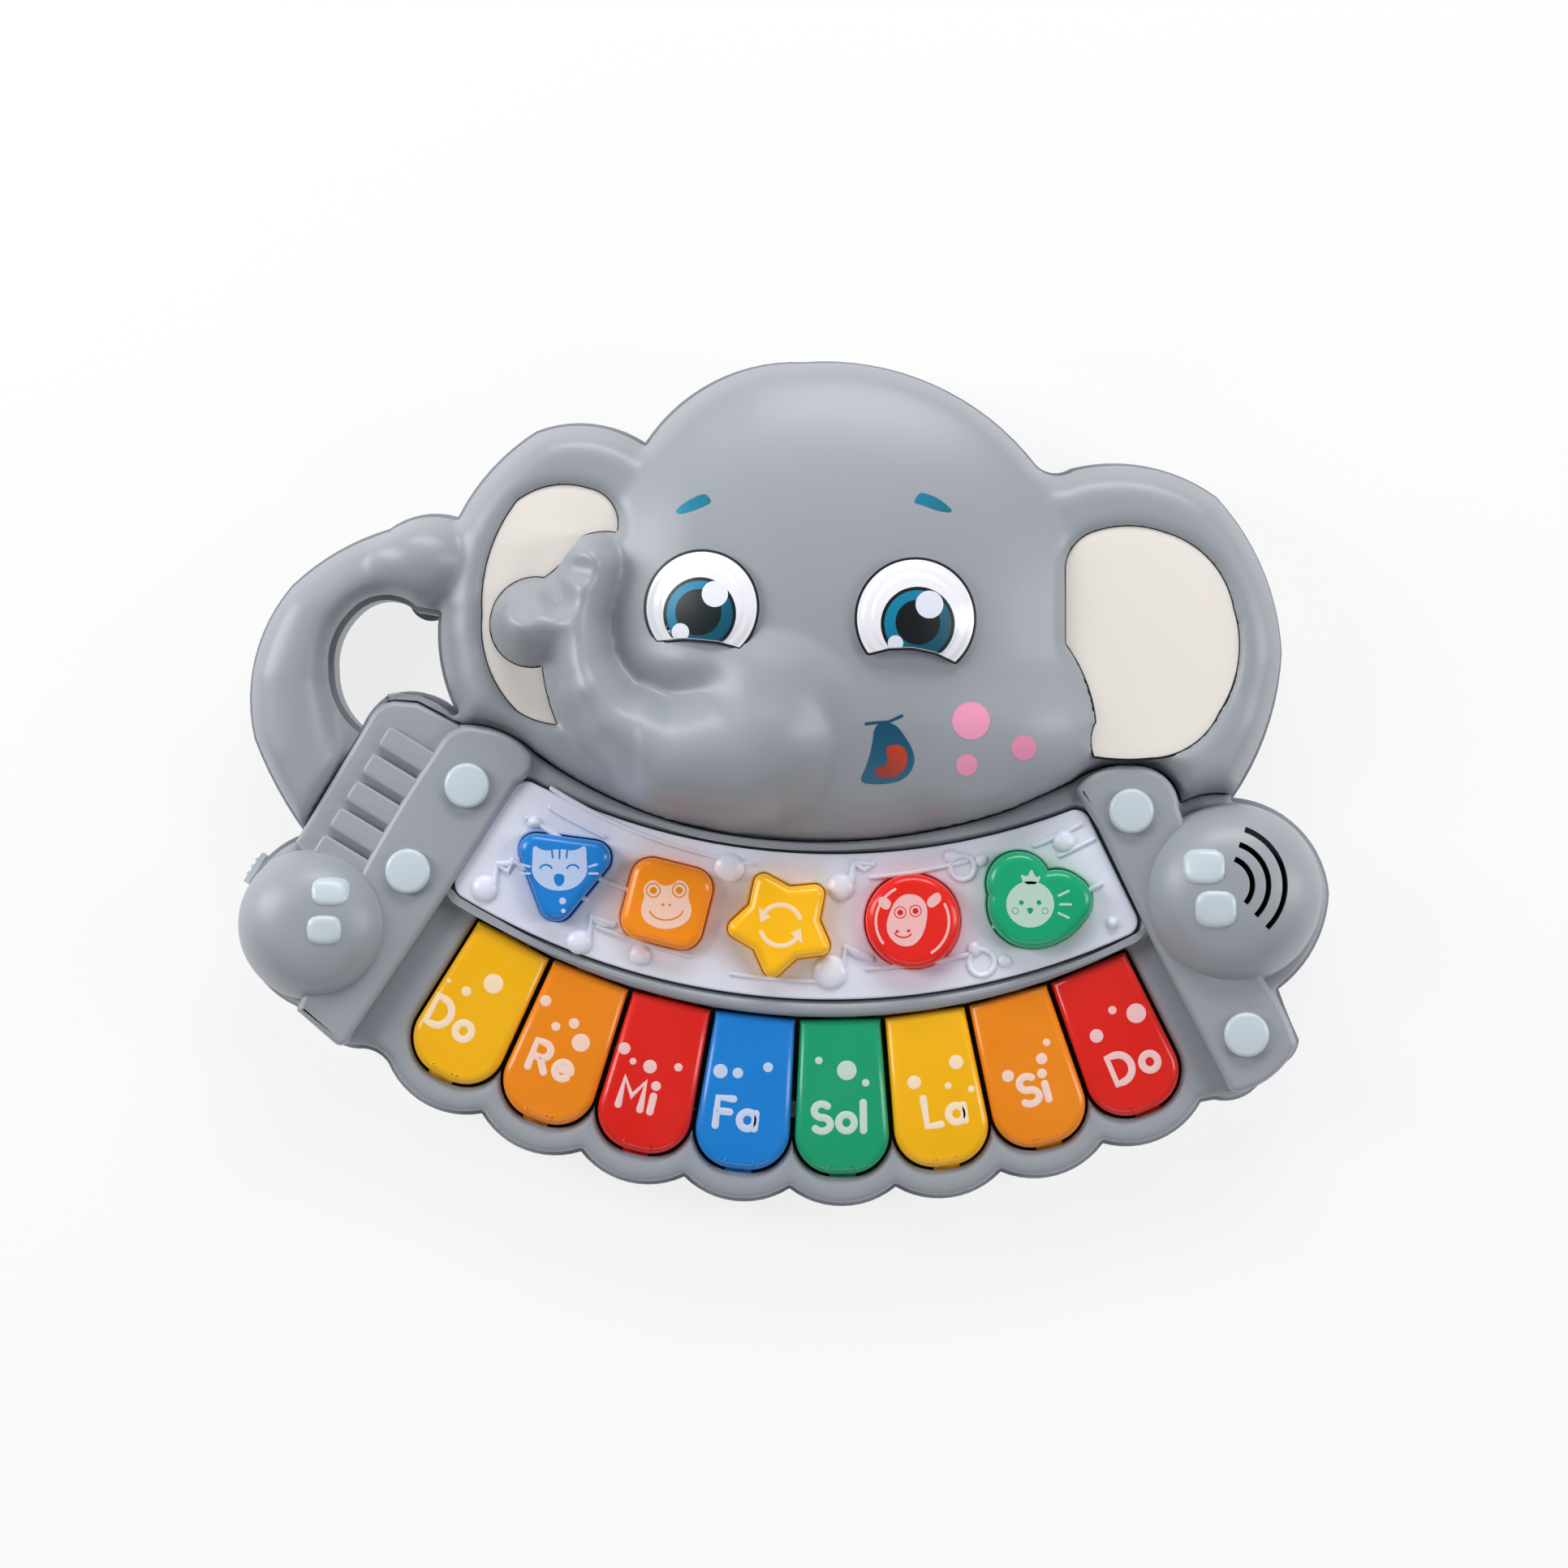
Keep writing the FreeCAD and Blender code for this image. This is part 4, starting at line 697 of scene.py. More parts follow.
# ---------------------------------------------------------------- the head
HEAD_EDGE = section("head_shell", 17.0)[0]
LEFT_INSERT = section("left_ear_insert", 30.0)[0]
RIGHT_INSERT = section("right_ear_insert", 30.0)[0]
LEFT_EYE_MIDDLE = (-21.55, 46.0, 14.8)
RIGHT_EYE_MIDDLE = (34.0, 43.0, 15.6)
LEFT_LID = ((-45, 36.6), (-31.5, 37.1), (-26, 37.5), (-21.3, 37.1), (-17, 36.6), (-13.1, 35.5), (0, 31.5))
RIGHT_LID = ((10, 31.8), (22.5, 33.7), (27, 34.8), (33, 35), (39, 33.8), (43.8, 31.6), (58, 26))


def lid_height(x, lid):
    """Height in plan of the lid's edge over a place."""
    for (ax, ay), (bx, by) in zip(lid, lid[1:]):
        if x <= bx:
            return ay + (by - ay) * (x - ax) / (bx - ax)
    return lid[-1][1]


def under_lid(loop, lid, gap=0.0):
    return [(x, max(y, lid_height(x, lid) + gap)) for x, y in loop]


def eye_loop(middle, lid):
    """The eye's outline: a circle with the lid's edge across it."""
    loop = oval(*middle, count=120)
    return [p for p in under_lid(loop, lid) if inside(p, oval(*middle[:2], middle[2] + 0.01, count=120))]


LEFT_EYE = eye_loop(LEFT_EYE_MIDDLE, LEFT_LID)
RIGHT_EYE = eye_loop(RIGHT_EYE_MIDDLE, RIGHT_LID)
INSERT_TOP = 31.5
FACE_FOOT = 22.0   # where the face, the ears and the handle start to rise
TRUNK_FOOT = 20.0  # the trunk's tubes start lower, inside the face
HEAD_LOW = 22.5    # the head's height right at its outer edge
EDGE_ROUND = 4.0   # reach of the rounding along the head's outer edge
EYE_SUNK = 0.75    # how far an eye's rim lies below the face
EYE_DEPTH = 3.2


def profile(distance, reach):
    """Quarter-round rise from 0 at an edge to 1 at reach inside it."""
    t = min(1.0, max(0.0, distance / reach))
    return math.sqrt(1 - (1 - t) ** 2)


def ease(low, high, value):
    t = min(1.0, max(0.0, (value - low) / (high - low)))
    return t * t * (3 - 2 * t)


def soft_max(a, b, blend):
    return 0.5 * (a + b + math.sqrt((a - b) ** 2 + blend * blend)) - 0.25 * blend


def ball(x, y, cx, cy, rx, ry, top, base, power=0.5):
    share = ((x - cx) / rx) ** 2 + ((y - cy) / ry) ** 2
    return base if share >= 1 else base + (top - base) * (1 - share) ** power


def dent(x, y, cx, cy, depth, spread):
    return depth * math.exp(-((x - cx) ** 2 + (y - cy) ** 2) / (2 * spread * spread))


# Muzzle and handle as tubes: x, y, half width, height of their backs.
MUZZLE = ((-5.3, 14, 26.4, 54.6), (-12, 9.6, 22.8, 54.6), (-30, 7.7, 18.2, 54.4),
          (-45, 17, 12.6, 54.0), (-50.5, 25, 10.6, 53.2))
HANDLE = ((-92, 59, 10.5, 33), (-97, 59, 12, 32.6), (-112, 55, 9.6, 31), (-125, 45, 10.6, 31),
          (-131.5, 28, 10.8, 31), (-130, 10, 12, 30.5), (-122, -8, 13, 28.5))
TRUNK_NECK = ((-50.5, 25, 10.6, 53.2), (-52.6, 31, 9.3, 52.4), (-53.6, 40, 8.8, 51.0))
UPPER_LOBE = ((-53.6, 45, 9.0, 50.5), (-50.8, 57.2, 9.4, 51.5))
LEFT_LOBE = ((-57.5, 43.6, 11.5, 50.5), (-66.6, 42.9, 11.2, 50.0))
# Left ear's outer edge where the handle meets it, closed well inside the face.
LEFT_EAR = ((-74, 0), (-84.4, 15), (-88.9, 26), (-90.9, 39), (-91, 48), (-89.5, 58), (-88, 66),
            (-86, 74), (-80, 84), (-60, 110), (0, 110), (0, 0))
LEFT_EAR_SIDE = LEFT_EAR[:9]


def bowl(x, y, cx, cy, depth, reach):
    return depth * (1 - ease(0.2 * reach, reach, math.hypot(x - cx, y - cy)))


def tube(x, y, spine, base):
    """Height of a round-backed tube over a place, or base beside it."""
    best = base
    for (ax, ay, ar, at_top), (bx, by, br, b_top) in zip(spine, spine[1:]):
        dx, dy = bx - ax, by - ay
        t = min(1.0, max(0.0, ((x - ax) * dx + (y - ay) * dy) / (dx * dx + dy * dy)))
        away = math.hypot(x - ax - t * dx, y - ay - t * dy)
        reach = ar + t * (br - ar)
        if away < reach:
            top = at_top + t * (b_top - at_top)
            best = max(best, base + (top - base) * (1 - (away / reach) ** 2) ** 0.5)
    return best


edge_distance = Nearest([HEAD_EDGE])
ear_side_distance = Nearest([list(LEFT_EAR_SIDE) + list(LEFT_EAR_SIDE[-2:0:-1])])
insert_distance = Nearest([LEFT_INSERT, RIGHT_INSERT])


def face_height(x, y):
    """The face's smooth dome with its cheeks, before the trunk is added."""
    reach_y = 68.0 if y > 46 else 62.5
    face = ball(x, y, 14, 46, 69, reach_y, 52, FACE_FOOT)
    cheek = ball(x, y, 51, 17, 32, 31, 46.5, FACE_FOOT, 0.45)
    return soft_max(face, cheek, 3.0)


def ear_height(x, y, edge):
    """The ears' rounded rims, cut off on the left where the handle starts."""
    if x < -70 and not inside((x, y), LEFT_EAR):
        return FACE_FOOT
    near = min(edge, ear_side_distance(x, y)) if x < -70 else edge
    return 23.0 + (11.0 if x < 0 else 11.5) * profile(near, 9.0)


def trunk_height(x, y):
    """Muzzle, trunk and its cupped tip with two nostrils."""
    trunk = tube(x, y, MUZZLE, TRUNK_FOOT)
    if x < -38:
        neck = tube(x, y, TRUNK_NECK, TRUNK_FOOT)
        tip = soft_max(tube(x, y, UPPER_LOBE, TRUNK_FOOT), tube(x, y, LEFT_LOBE, TRUNK_FOOT), 2.5)
        tip -= bowl(x, y, -59.2, 47.6, 4.4, 7.0) + bowl(x, y, -53.0, 56.0, 3.4, 5.2)
        tip -= bowl(x, y, -67.2, 45.6, 2.6, 5.4) + dent(x, y, -58.1, 47.0, 3.0, 0.9)
        trunk = soft_max(soft_max(trunk, neck, 2.0), tip, 2.5)
    return trunk


def head_height(x, y):
    edge = edge_distance(x, y)
    rim = insert_distance(x, y)
    face = face_height(x, y)
    face += 2.2 * math.exp(-(((x + 25) / 12) ** 2 + ((y - 32) / 5) ** 2))
    side = ear_height(x, y, edge)
    handle = FACE_FOOT
    if x < -75:
        knuckle = ball(x, y, -96.5, 59.4, 15.5, 12.2, 37.5, FACE_FOOT)
        handle = soft_max(tube(x, y, HANDLE, FACE_FOOT), knuckle, 1.2)
    body = soft_max(soft_max(face, side, 1.8), handle, 0.8)
    body = HEAD_LOW + (body - HEAD_LOW) * profile(edge, EDGE_ROUND)
    body = INSERT_TOP + (body - INSERT_TOP) * profile(rim, 3.6) if body > INSERT_TOP else body
    trunk = trunk_height(x, y)
    if trunk > 21:
        trunk = HEAD_LOW + (trunk - HEAD_LOW) * profile(edge, EDGE_ROUND)
    blend = 0.6 + 1.2 * ease(-42, -36, x) + 12.0 * ease(14, 34, y) * ease(-28, -6, x)
    return soft_max(body, trunk, blend)


def head_cover():
    """The head as one smooth moulding, with pockets for the ears' inserts and the eyes."""
    pockets = [LEFT_INSERT, RIGHT_INSERT, LEFT_EYE, RIGHT_EYE]
    bm = cells([HEAD_EDGE], CELL)
    for pocket in pockets:
        cutter = curve_mesh([pocket], 2.0)
        bmesh.ops.recalc_face_normals(cutter, faces=cutter.faces)
        bm = boolean(bm, cutter, "DIFFERENCE")
    bmesh.ops.remove_doubles(bm, verts=bm.verts, dist=0.004)
    drop = [f for f in bm.faces if f.calc_center_median().z < 0.01]
    bmesh.ops.delete(bm, geom=drop, context="FACES_ONLY")
    rims = Nearest(pockets, 0.5)
    outer = Nearest([HEAD_EDGE], 0.5)
    for vert in bm.verts:
        x, y, z = vert.co
        if z > 0.5:
            vert.co.z = head_height(x, y)
        else:
            pocket_foot = head_height(x, y) - 4.0
            if x < -40 or x > 70:
                pocket_foot = min(pocket_foot, INSERT_TOP - 2.7)
            vert.co.z = PARTING if outer(x, y) < rims(x, y) else pocket_foot
    bm.normal_update()
    skin = [v for v in bm.verts if v.link_faces and all(abs(f.normal.z) > 0.05 for f in v.link_faces)]
    for _ in range(3):
        bmesh.ops.smooth_vert(bm, verts=skin, factor=0.5, use_axis_x=False, use_axis_y=False,
                              use_axis_z=True)
    bmesh.ops.recalc_face_normals(bm, faces=bm.faces)
    made = piece("head_cover", bm, FINISHES["shell_grey"], smooth=50.0)
    wall = made.modifiers.new("wall", "SOLIDIFY")
    wall.thickness = 1.8 * MM
    wall.offset = -1
    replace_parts(made, "head_shell")


head_cover()


def ear_plate(name, loop):
    def top(x, y):
        return INSERT_TOP - 0.5 + 0.45 * profile(distance(x, y), 1.2)

    distance = Nearest([loop])
    bm = relief([shrunk(loop, 0.28)], 1.6, top, lambda x, y: INSERT_TOP - 3.0)
    made = piece(name + "_plate", bm, FINISHES["ear_cream"])
    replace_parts(made, name)
    # painted shadow: a dark line in the gap round the ear's insert
    gap_shadow_line(name + "_liner", loop, lambda x, y: INSERT_TOP - 0.1)


def shrunk(loop, by):
    """The outline moved inwards."""
    side = 1 if area_of(loop) > 0 else -1
    points = []
    for a, b, c in zip(loop[-1:] + loop[:-1], loop, loop[1:] + loop[:1]):
        ux, uy = b[0] - a[0], b[1] - a[1]
        vx, vy = c[0] - b[0], c[1] - b[1]
        ul, vl = math.hypot(ux, uy), math.hypot(vx, vy)
        nx, ny = -(uy / ul + vy / vl), ux / ul + vx / vl
        length = math.hypot(nx, ny)
        points.append((b[0] + side * by * nx / length, b[1] + side * by * ny / length))
    return points


ear_plate("left_ear_insert", LEFT_INSERT)
ear_plate("right_ear_insert", RIGHT_INSERT)


# ---------------------------------------------------------------- eyes and prints on the face
def eye(name, loop, middle, iris, pupil, glints, teal, lid):
    """An eye white with shallow steps, and the printed iris, pupil and glints on it."""
    mx, my, radius = middle

    def white_height(x, y):
        share = min(1.0, math.hypot(x - mx, y - my) / radius)
        steps = 0.35 * (1 - ease(0.70, 0.74, share)) + 0.35 * (1 - ease(0.86, 0.9, share))
        crown = 1.6 * (1 - share * share)
        return face_height(x, y) - EYE_SUNK + crown + steps

    white_loop = shrunk(loop, 0.4)
    bm = relief([white_loop], 0.45, white_height, lambda x, y: face_height(x, y) - EYE_DEPTH)
    made = piece(name + "_white", bm, FINISHES["eye_white"])
    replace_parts(made, name)
    # painted shadow: a dark line in the gap round the eye white
    gap_shadow_line(name + "_liner", loop, lambda x, y: white_height(x, y) - 0.1)
    layers = ((iris[2], iris, "dark", 0.05), (iris[2] - 0.9, iris, teal, 0.1),
              (pupil[2], pupil, "dark", 0.15))
    for order, (size, (cx, cy, _), finish, proud) in enumerate(layers):
        disc = under_lid(oval(cx, cy, size, count=64), lid, 0.55)
        patch(f"{name}_print_{order}", disc, finish, white_height, proud)
    for order, (cx, cy, size) in enumerate(glints):
        disc = under_lid(oval(cx, cy, size, count=48), lid, 0.55)
        patch(f"{name}_glint_{order}", disc, "glint", white_height, 0.2)


def patch(name, loop, finish, surface, proud=0.06):
    """A thin print that follows a curved surface."""
    bm = relief([loop], PRINT_CELL, lambda x, y: surface(x, y) + proud,
                lambda x, y: surface(x, y) - PRINT_DEPTH)
    return piece(name, bm, PRINTS[finish])


eye("left_eye", LEFT_EYE, LEFT_EYE_MIDDLE, (-22, 44.2, 9.5), (-22.3, 44.6, 6.0),
    ((-18, 49.3, 3.4), (-27, 39.5, 2.3)), "teal", LEFT_LID)
eye("right_eye", RIGHT_EYE, RIGHT_EYE_MIDDLE, (34.5, 41.5, 9.6), (34.5, 41.9, 5.8),
    ((37.5, 46.5, 3.6), (28.7, 36.5, 2.0)), "teal_right", RIGHT_LID)

LEFT_BROW = ((-28.8, 71), (-26, 73.5), (-22, 75.5), (-20.5, 75.6), (-19.8, 75), (-19, 73.8),
             (-19.5, 73), (-23, 71.5), (-27, 70.3))
RIGHT_BROW = ((33.7, 73.5), (34.8, 75.5), (36, 75.9), (40, 74.5), (43, 72), (43.7, 71.2),
              (43, 70.6), (40, 71), (36, 72.5), (34, 73))
MOUTH = ((23.5, 16), (28.5, 16), (31, 13), (33.5, 9), (34, 5.5), (32.5, 2.5), (30, 0.7), (26, 0),
         (22, 0), (20, 0.6), (20, 2), (21.5, 5), (22.8, 10))
TONGUE = ((26.5, 10), (30, 10.5), (32, 8.5), (32, 5), (30.5, 3), (28, 1.7), (25, 1.6), (23.3, 3),
          (24, 4.3), (26, 4.8), (27, 6), (26.5, 8.5))
patch("left_brow", smooth_loop(list(LEFT_BROW)), "brow", head_height)
patch("right_brow", smooth_loop(list(RIGHT_BROW)), "brow_right", head_height)
patch("mouth", smooth_loop(list(MOUTH)), "mouth", head_height, 0.06)
patch("tongue", smooth_loop(list(TONGUE)), "tongue", head_height, 0.12)
smile = stroke([(21.2, 15.7), (23.5, 16.0), (27.0, 16.2), (30.5, 17.8)], 0.8, flat=0.15)
piece("smile", lifted(smile, head_height, 0.05), PRINTS["mouth"])
for order, (x, y, radius) in enumerate(((48.5, 16.5, 4.9), (62.3, 9.5, 3.3), (47.5, 5, 2.8))):
    patch(f"cheek_dot_{order}", oval(x, y, radius), "pink", head_height)


# ---------------------------------------------------------------- the keyboard frame
LEFT_STRAP = ((-128.5, -59.5), (-111.5, -23, -91, 10.5), (-86.5, 14.6, -80, 14.8),
              (-72.5, 12.6, -66.6, 7.6), (-66.9, 3.5, -70.5, 0.2), (-90.5, -31),
              (-114.5, -66.5), (-116, -68.6, -118.5, -68.2), (-128.5, -59.5))
RIGHT_STRAP = ((76.6, -1.5), (82, 3.2, 91, 4.7), (99, 2.9, 104, -6.2), (112.5, -30),
               (128.5, -54.5), (132.5, -61.5, 135, -68.5), (129, -76.5, 120, -81),
               (118, -80.8, 117, -79.3), (97, -41.5), (83, -12), (79.5, -6.5), (76.6, -1.5))
NECK_PLATE = ((-129.3, -15.5), (-110, 16.7), (-107.3, 20.2, -103, 21.9), (-97, 21.4),
              (-85, 15), (-95, -5), (-118, -30), (-129.3, -15.5))
BAND_TOP_EDGE = ((-85.5, 15.8), (-75.5, 14.2, -66, 8), (-39.5, -6.5, -10, -14),
                 (26, -14.4, 60, -6.7), (76.3, 0.6), (88, 5, 97.5, 4))
LEFT_FIST = (-124.3, -37.0, 20.2, 16.5)
RIGHT_FIST = (118.2, -29.0, 24.0, 18.0)
SPEAKER_SLOTS = (((117.5, -19.5), (122, -25), (120.3, -31)),
                 ((118.8, -15.7), (126.3, -25), (123, -34.3)),
                 ((120.5, -11.8), (130.7, -25), (126, -37.5)))
SKIRT_TOP = 20.6


def fan_turn(index):
    return math.radians(FIRST_KEY + KEY_PITCH * index)


def fan_point(index, radius):
    turn = fan_turn(index)
    return (FAN_CENTRE[0] + radius * math.sin(turn), FAN_CENTRE[1] - radius * math.cos(turn))


def band_loop():
    """The frame's raised band: along the chin, and back along the keys' upper edge."""
    upper = drawn(BAND_TOP_EDGE)
    lower = [fan_point(7.5 + 1.4 - k * 0.1, 175.5) for k in range(107)]
    return upper + [(104, -8)] + lower + [(-104, -8)]


def fist_rise(away, radius, rise):
    """Height of a fist above its foot: flatter on top and steeper at the side than a ball."""
    share = min(1.0, away / radius)
    return rise * math.sqrt(1 - share ** 2.9)


def fist_profile(radius, rise, base, wall):
    """A hollow dome from its top down to its foot and back up inside."""
    turns = [math.pi / 2 * k / 28 for k in range(29)]
    outer = [(radius * math.sin(t), base + fist_rise(radius * math.sin(t), radius, rise))
             for t in turns]
    inner = [((radius - wall) * math.sin(t),
              base - 1 + fist_rise((radius - wall) * math.sin(t), radius - wall, rise - wall + 1))
             for t in turns[::-1]]
    return outer + [(radius, base - 1)] + inner


def slot_cutter(points):
    a, b, c = points
    line = [a] + arc_points(a, b, c, 0.6)
    outline = []
    spread = 0.75
    for side in (1, -1):
        run = line if side > 0 else line[::-1]
        for before, here, after in zip([run[0]] + run[:-1], run, run[1:] + [run[-1]]):
            dx, dy = after[0] - before[0], after[1] - before[1]
            length = math.hypot(dx, dy)
            outline.append((here[0] + spread * dy / length, here[1] - spread * dx / length))
    return raised(curve_mesh([outline], 16.0), 36.0)


def frame_pieces():
    grey = FINISHES["shell_grey"]
    lower = cad_part("keyboard_frame", SKIRT_TOP)
    made = [piece("frame_skirt", lower, grey)]
    loops = section("keyboard_frame", 21.5)
    rim_distance = Nearest(loops)
    rim = relief(loops, 0.8,
                 lambda x, y: SKIRT_TOP + 1.9 * profile(rim_distance(x, y), 2.8),
                 lambda x, y: SKIRT_TOP - 0.1)
    made.append(piece("frame_rim", rim, grey, smooth=50.0))
    panel = section("music_panel", 25.5)[0]  # the same level as PANEL_SECTION below
    pocket = shrunk(panel, -0.35)
    made.append(piece("frame_band", plate([band_loop(), pocket], 21.2, BAND_TOP, 2.2, 6), grey))
    made.append(piece("left_strap", plate([drawn(LEFT_STRAP)], SKIRT_TOP, STRAP_TOP, 1.8, 6), grey))
    made.append(piece("right_strap", plate([drawn(RIGHT_STRAP)], SKIRT_TOP, STRAP_TOP, 1.8, 6), grey))
    made.append(piece("neck_plate", plate([drawn(NECK_PLATE)], SKIRT_TOP, 26.6, 1.6), grey))
    for index, bar in enumerate(fret_loops()):
        made.append(piece(f"fret_{index + 1}", plate([bar], 25.5, 29.3, 0.8, 5), grey))
    for name, (x, y, radius, rise) in (("left_fist", LEFT_FIST), ("right_fist", RIGHT_FIST)):
        bm = lathe(x, y, fist_profile(radius, rise, RIM_TOP, 2.2), 96)
        if name == "right_fist":
            for points in SPEAKER_SLOTS:
                cutter = slot_cutter(points)
                bmesh.ops.recalc_face_normals(cutter, faces=cutter.faces)
                bm = boolean(bm, cutter, "DIFFERENCE")
        made.append(piece(name, bm, grey, smooth=40.0))
    for each in made:
        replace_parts(each, "keyboard_frame")


def fret_loops():
    """Five rounded bars across the neck, square to its left edge."""
    dx, dy = -130 + 110, -16 - 17
    length = math.hypot(dx, dy)
    along = (dx / length, dy / length)
    across = (-along[1], along[0])
    if across[0] < 0:
        across = (-across[0], -across[1])
    bars = []
    for k in range(5):
        ax, ay = -104 + along[0] * 8.3 * k, 15.5 + along[1] * 8.3 * k
        corners = [(ax, ay), (ax + across[0] * 19, ay + across[1] * 19)]
        corners += [(corners[1][0] + along[0] * 6.2, corners[1][1] + along[1] * 6.2),
                    (ax + along[0] * 6.2, ay + along[1] * 6.2)]
        bars.append(rounded(corners, 1.6))
    return bars


def rounded(corners, radius, steps=6):
    """A straight-sided outline with its corners rounded."""
    points = []
    for a, b, c in zip(corners[-1:] + corners[:-1], corners, corners[1:] + corners[:1]):
        la, lc = math.dist(a, b), math.dist(b, c)
        start = (b[0] + (a[0] - b[0]) * radius / la, b[1] + (a[1] - b[1]) * radius / la)
        end = (b[0] + (c[0] - b[0]) * radius / lc, b[1] + (c[1] - b[1]) * radius / lc)
        for k in range(steps + 1):
            t = k / steps
            points.append(tuple((1 - t) ** 2 * s + 2 * t * (1 - t) * m + t * t * e
                                for s, m, e in zip(start, b, end)))
    return points


frame_pieces()


# ---------------------------------------------------------------- caps and nails
def fist_surface(x, y, fist):
    cx, cy, radius, rise = fist
    return RIM_TOP + fist_rise(math.hypot(x - cx, y - cy), radius, rise)


def nails():
    """Pale rounded squares that follow the fists' domes."""
    shapes = ((LEFT_FIST, (-118.7, -28), 4.9, 3.7), (LEFT_FIST, (-120.2, -38), 4.5, 3.8),
              (RIGHT_FIST, (109.6, -21.4), 5.4, 4.6), (RIGHT_FIST, (112.6, -32.5), 5.4, 4.8))
    for order, (fist, (x, y), long, wide) in enumerate(shapes):
        loop = []
        for px, py in oval(0, 0, 1, count=56):
            bulge = (abs(px) ** 3 + abs(py) ** 3) ** (-1 / 3)
            loop.append((x + px * bulge * long, y + py * bulge * wide))
        distance = Nearest([loop])
        bm = relief([loop], 0.6,
                    lambda px, py: fist_surface(px, py, fist) - 0.2 + 1.0 * profile(distance(px, py), 1.6),
                    lambda px, py: fist_surface(px, py, fist) - 1.2)
        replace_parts(piece(f"fist_nail_{order + 1}", bm, FINISHES["trim_pale"]), "fist_nails")


def caps():
    for order, (x, y) in enumerate(((-83.5, -0.3), (-99, -22.8), (91.2, -7), (121.5, -65.8))):
        low, radius = STRAP_TOP + 0.1, 5.9
        outline = [(0, low), (radius - 0.1, low), (radius, low + 0.2), (radius, low + 1.1)]
        for k in range(9):
            a = math.radians(90 * k / 8)
            outline.append((radius - 1.2 + 1.2 * math.cos(a), low + 1.1 + 1.2 * math.sin(a)))
        outline += [(radius * 0.62, low + 2.42), (radius * 0.3, low + 2.54), (0, low + 2.58)]
        bm = lathe(x, y, outline, 64)
        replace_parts(piece(f"strap_cap_{order + 1}", bm, FINISHES["trim_pale"]), "strap_caps")


nails()
caps()


# ---------------------------------------------------------------- music panel
PANEL_TOP = 27.1
PANEL_SECTION = 25.5  # level at which the CAD outline is taken
PANEL_LOW = 24.5
# level of the painted shadow line in the gap round the panel
PANEL_GAP_SHADOW_LEVEL = 26.4
RELIEF_SUNK = 0.1     # how far a raised ball starts below the panel's top
BALL_RISE = 1.9
# A note: the middle and radius of its head, and the end of its flag.
NOTES = (((-79, -27.5), 3.6, (-72, -21)), ((-54, -41.5), 3.4, (-45, -37)),
         ((15, -27), 3.6, (23, -21)), ((12, -49.5), 4.6, (23, -46)))
BALLS = ((-66, -10, 1.8), (-38, -45, 2.8), (-14.5, -22, 4.0), (73.7, -15, 3.0), (86.5, -36.5, 1.7))
RINGS = (((47, -22), 3.2, (44, -19, 2.0), (52, -20, 1.7)),
         ((52, -47), 3.4, (50, -43.5, 2.0), (58, -46.5, 1.8)))


def panel():
    loops = section("music_panel", PANEL_SECTION)
    bm = plate(loops, PANEL_LOW, PANEL_TOP, 0.7, 4)
    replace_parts(piece("panel_plate", bm, FINISHES["panel_frost"]), "music_panel")
    # painted shadow: a dark line in the gap round the panel
    gap_shadow_line("panel_liner", shrunk(loops[0], -0.15), lambda x, y: PANEL_GAP_SHADOW_LEVEL)
    relief_bm = bmesh.new()
    for x, y, radius in BALLS:
        added(relief_bm, pebble(x, y, radius, PANEL_TOP - RELIEF_SUNK, BALL_RISE))
    for (x, y), radius, end in NOTES:
        added(relief_bm, pebble(x, y, radius, PANEL_TOP - RELIEF_SUNK, BALL_RISE))
        added(relief_bm, raised(stroke([(x + radius * 0.7, y), (x + radius * 0.9, y + 6.5), end],
                                       1.9, flat=1.0), PANEL_TOP))
        added(relief_bm, raised(stroke([(x + radius * 0.9, y + 6.5), (x + radius + 2.5, y + 4.5), end],
                                       1.7, flat=1.0), PANEL_TOP))
    for (x, y), radius, *dots in RINGS:
        added(relief_bm, raised(stroke(oval(x, y, radius, count=28), 1.5, True, 1.0), PANEL_TOP))
        for dx, dy, size in dots:
            added(relief_bm, pebble(dx, dy, size, PANEL_TOP - RELIEF_SUNK, 1.2))
    for inner, start, end in ((136.5, -32.5, -8.5), (141.0, -31.5, -25.0), (146.5, -33.0, -27.0),
                              (151.5, -29.0, -19.0), (158.0, -32.0, -24.0), (163.5, -22.0, -13.0),
                              (166.0, -9.0, 1.0), (163.0, 3.5, 13.0), (157.5, 16.0, 27.0),
                              (146.0, 24.5, 28.5), (141.0, 22.5, 28.0), (139.0, 4.5, 15.0)):
        points = []
        for k in range(17):
            a = math.radians(start + (end - start) * k / 16)
            points.append((FAN_CENTRE[0] + inner * math.sin(a), FAN_CENTRE[1] - inner * math.cos(a)))
        added(relief_bm, raised(stroke(points, 1.3, flat=1.0), PANEL_TOP))
    piece("panel_relief", relief_bm, FINISHES["panel_frost"])


panel()


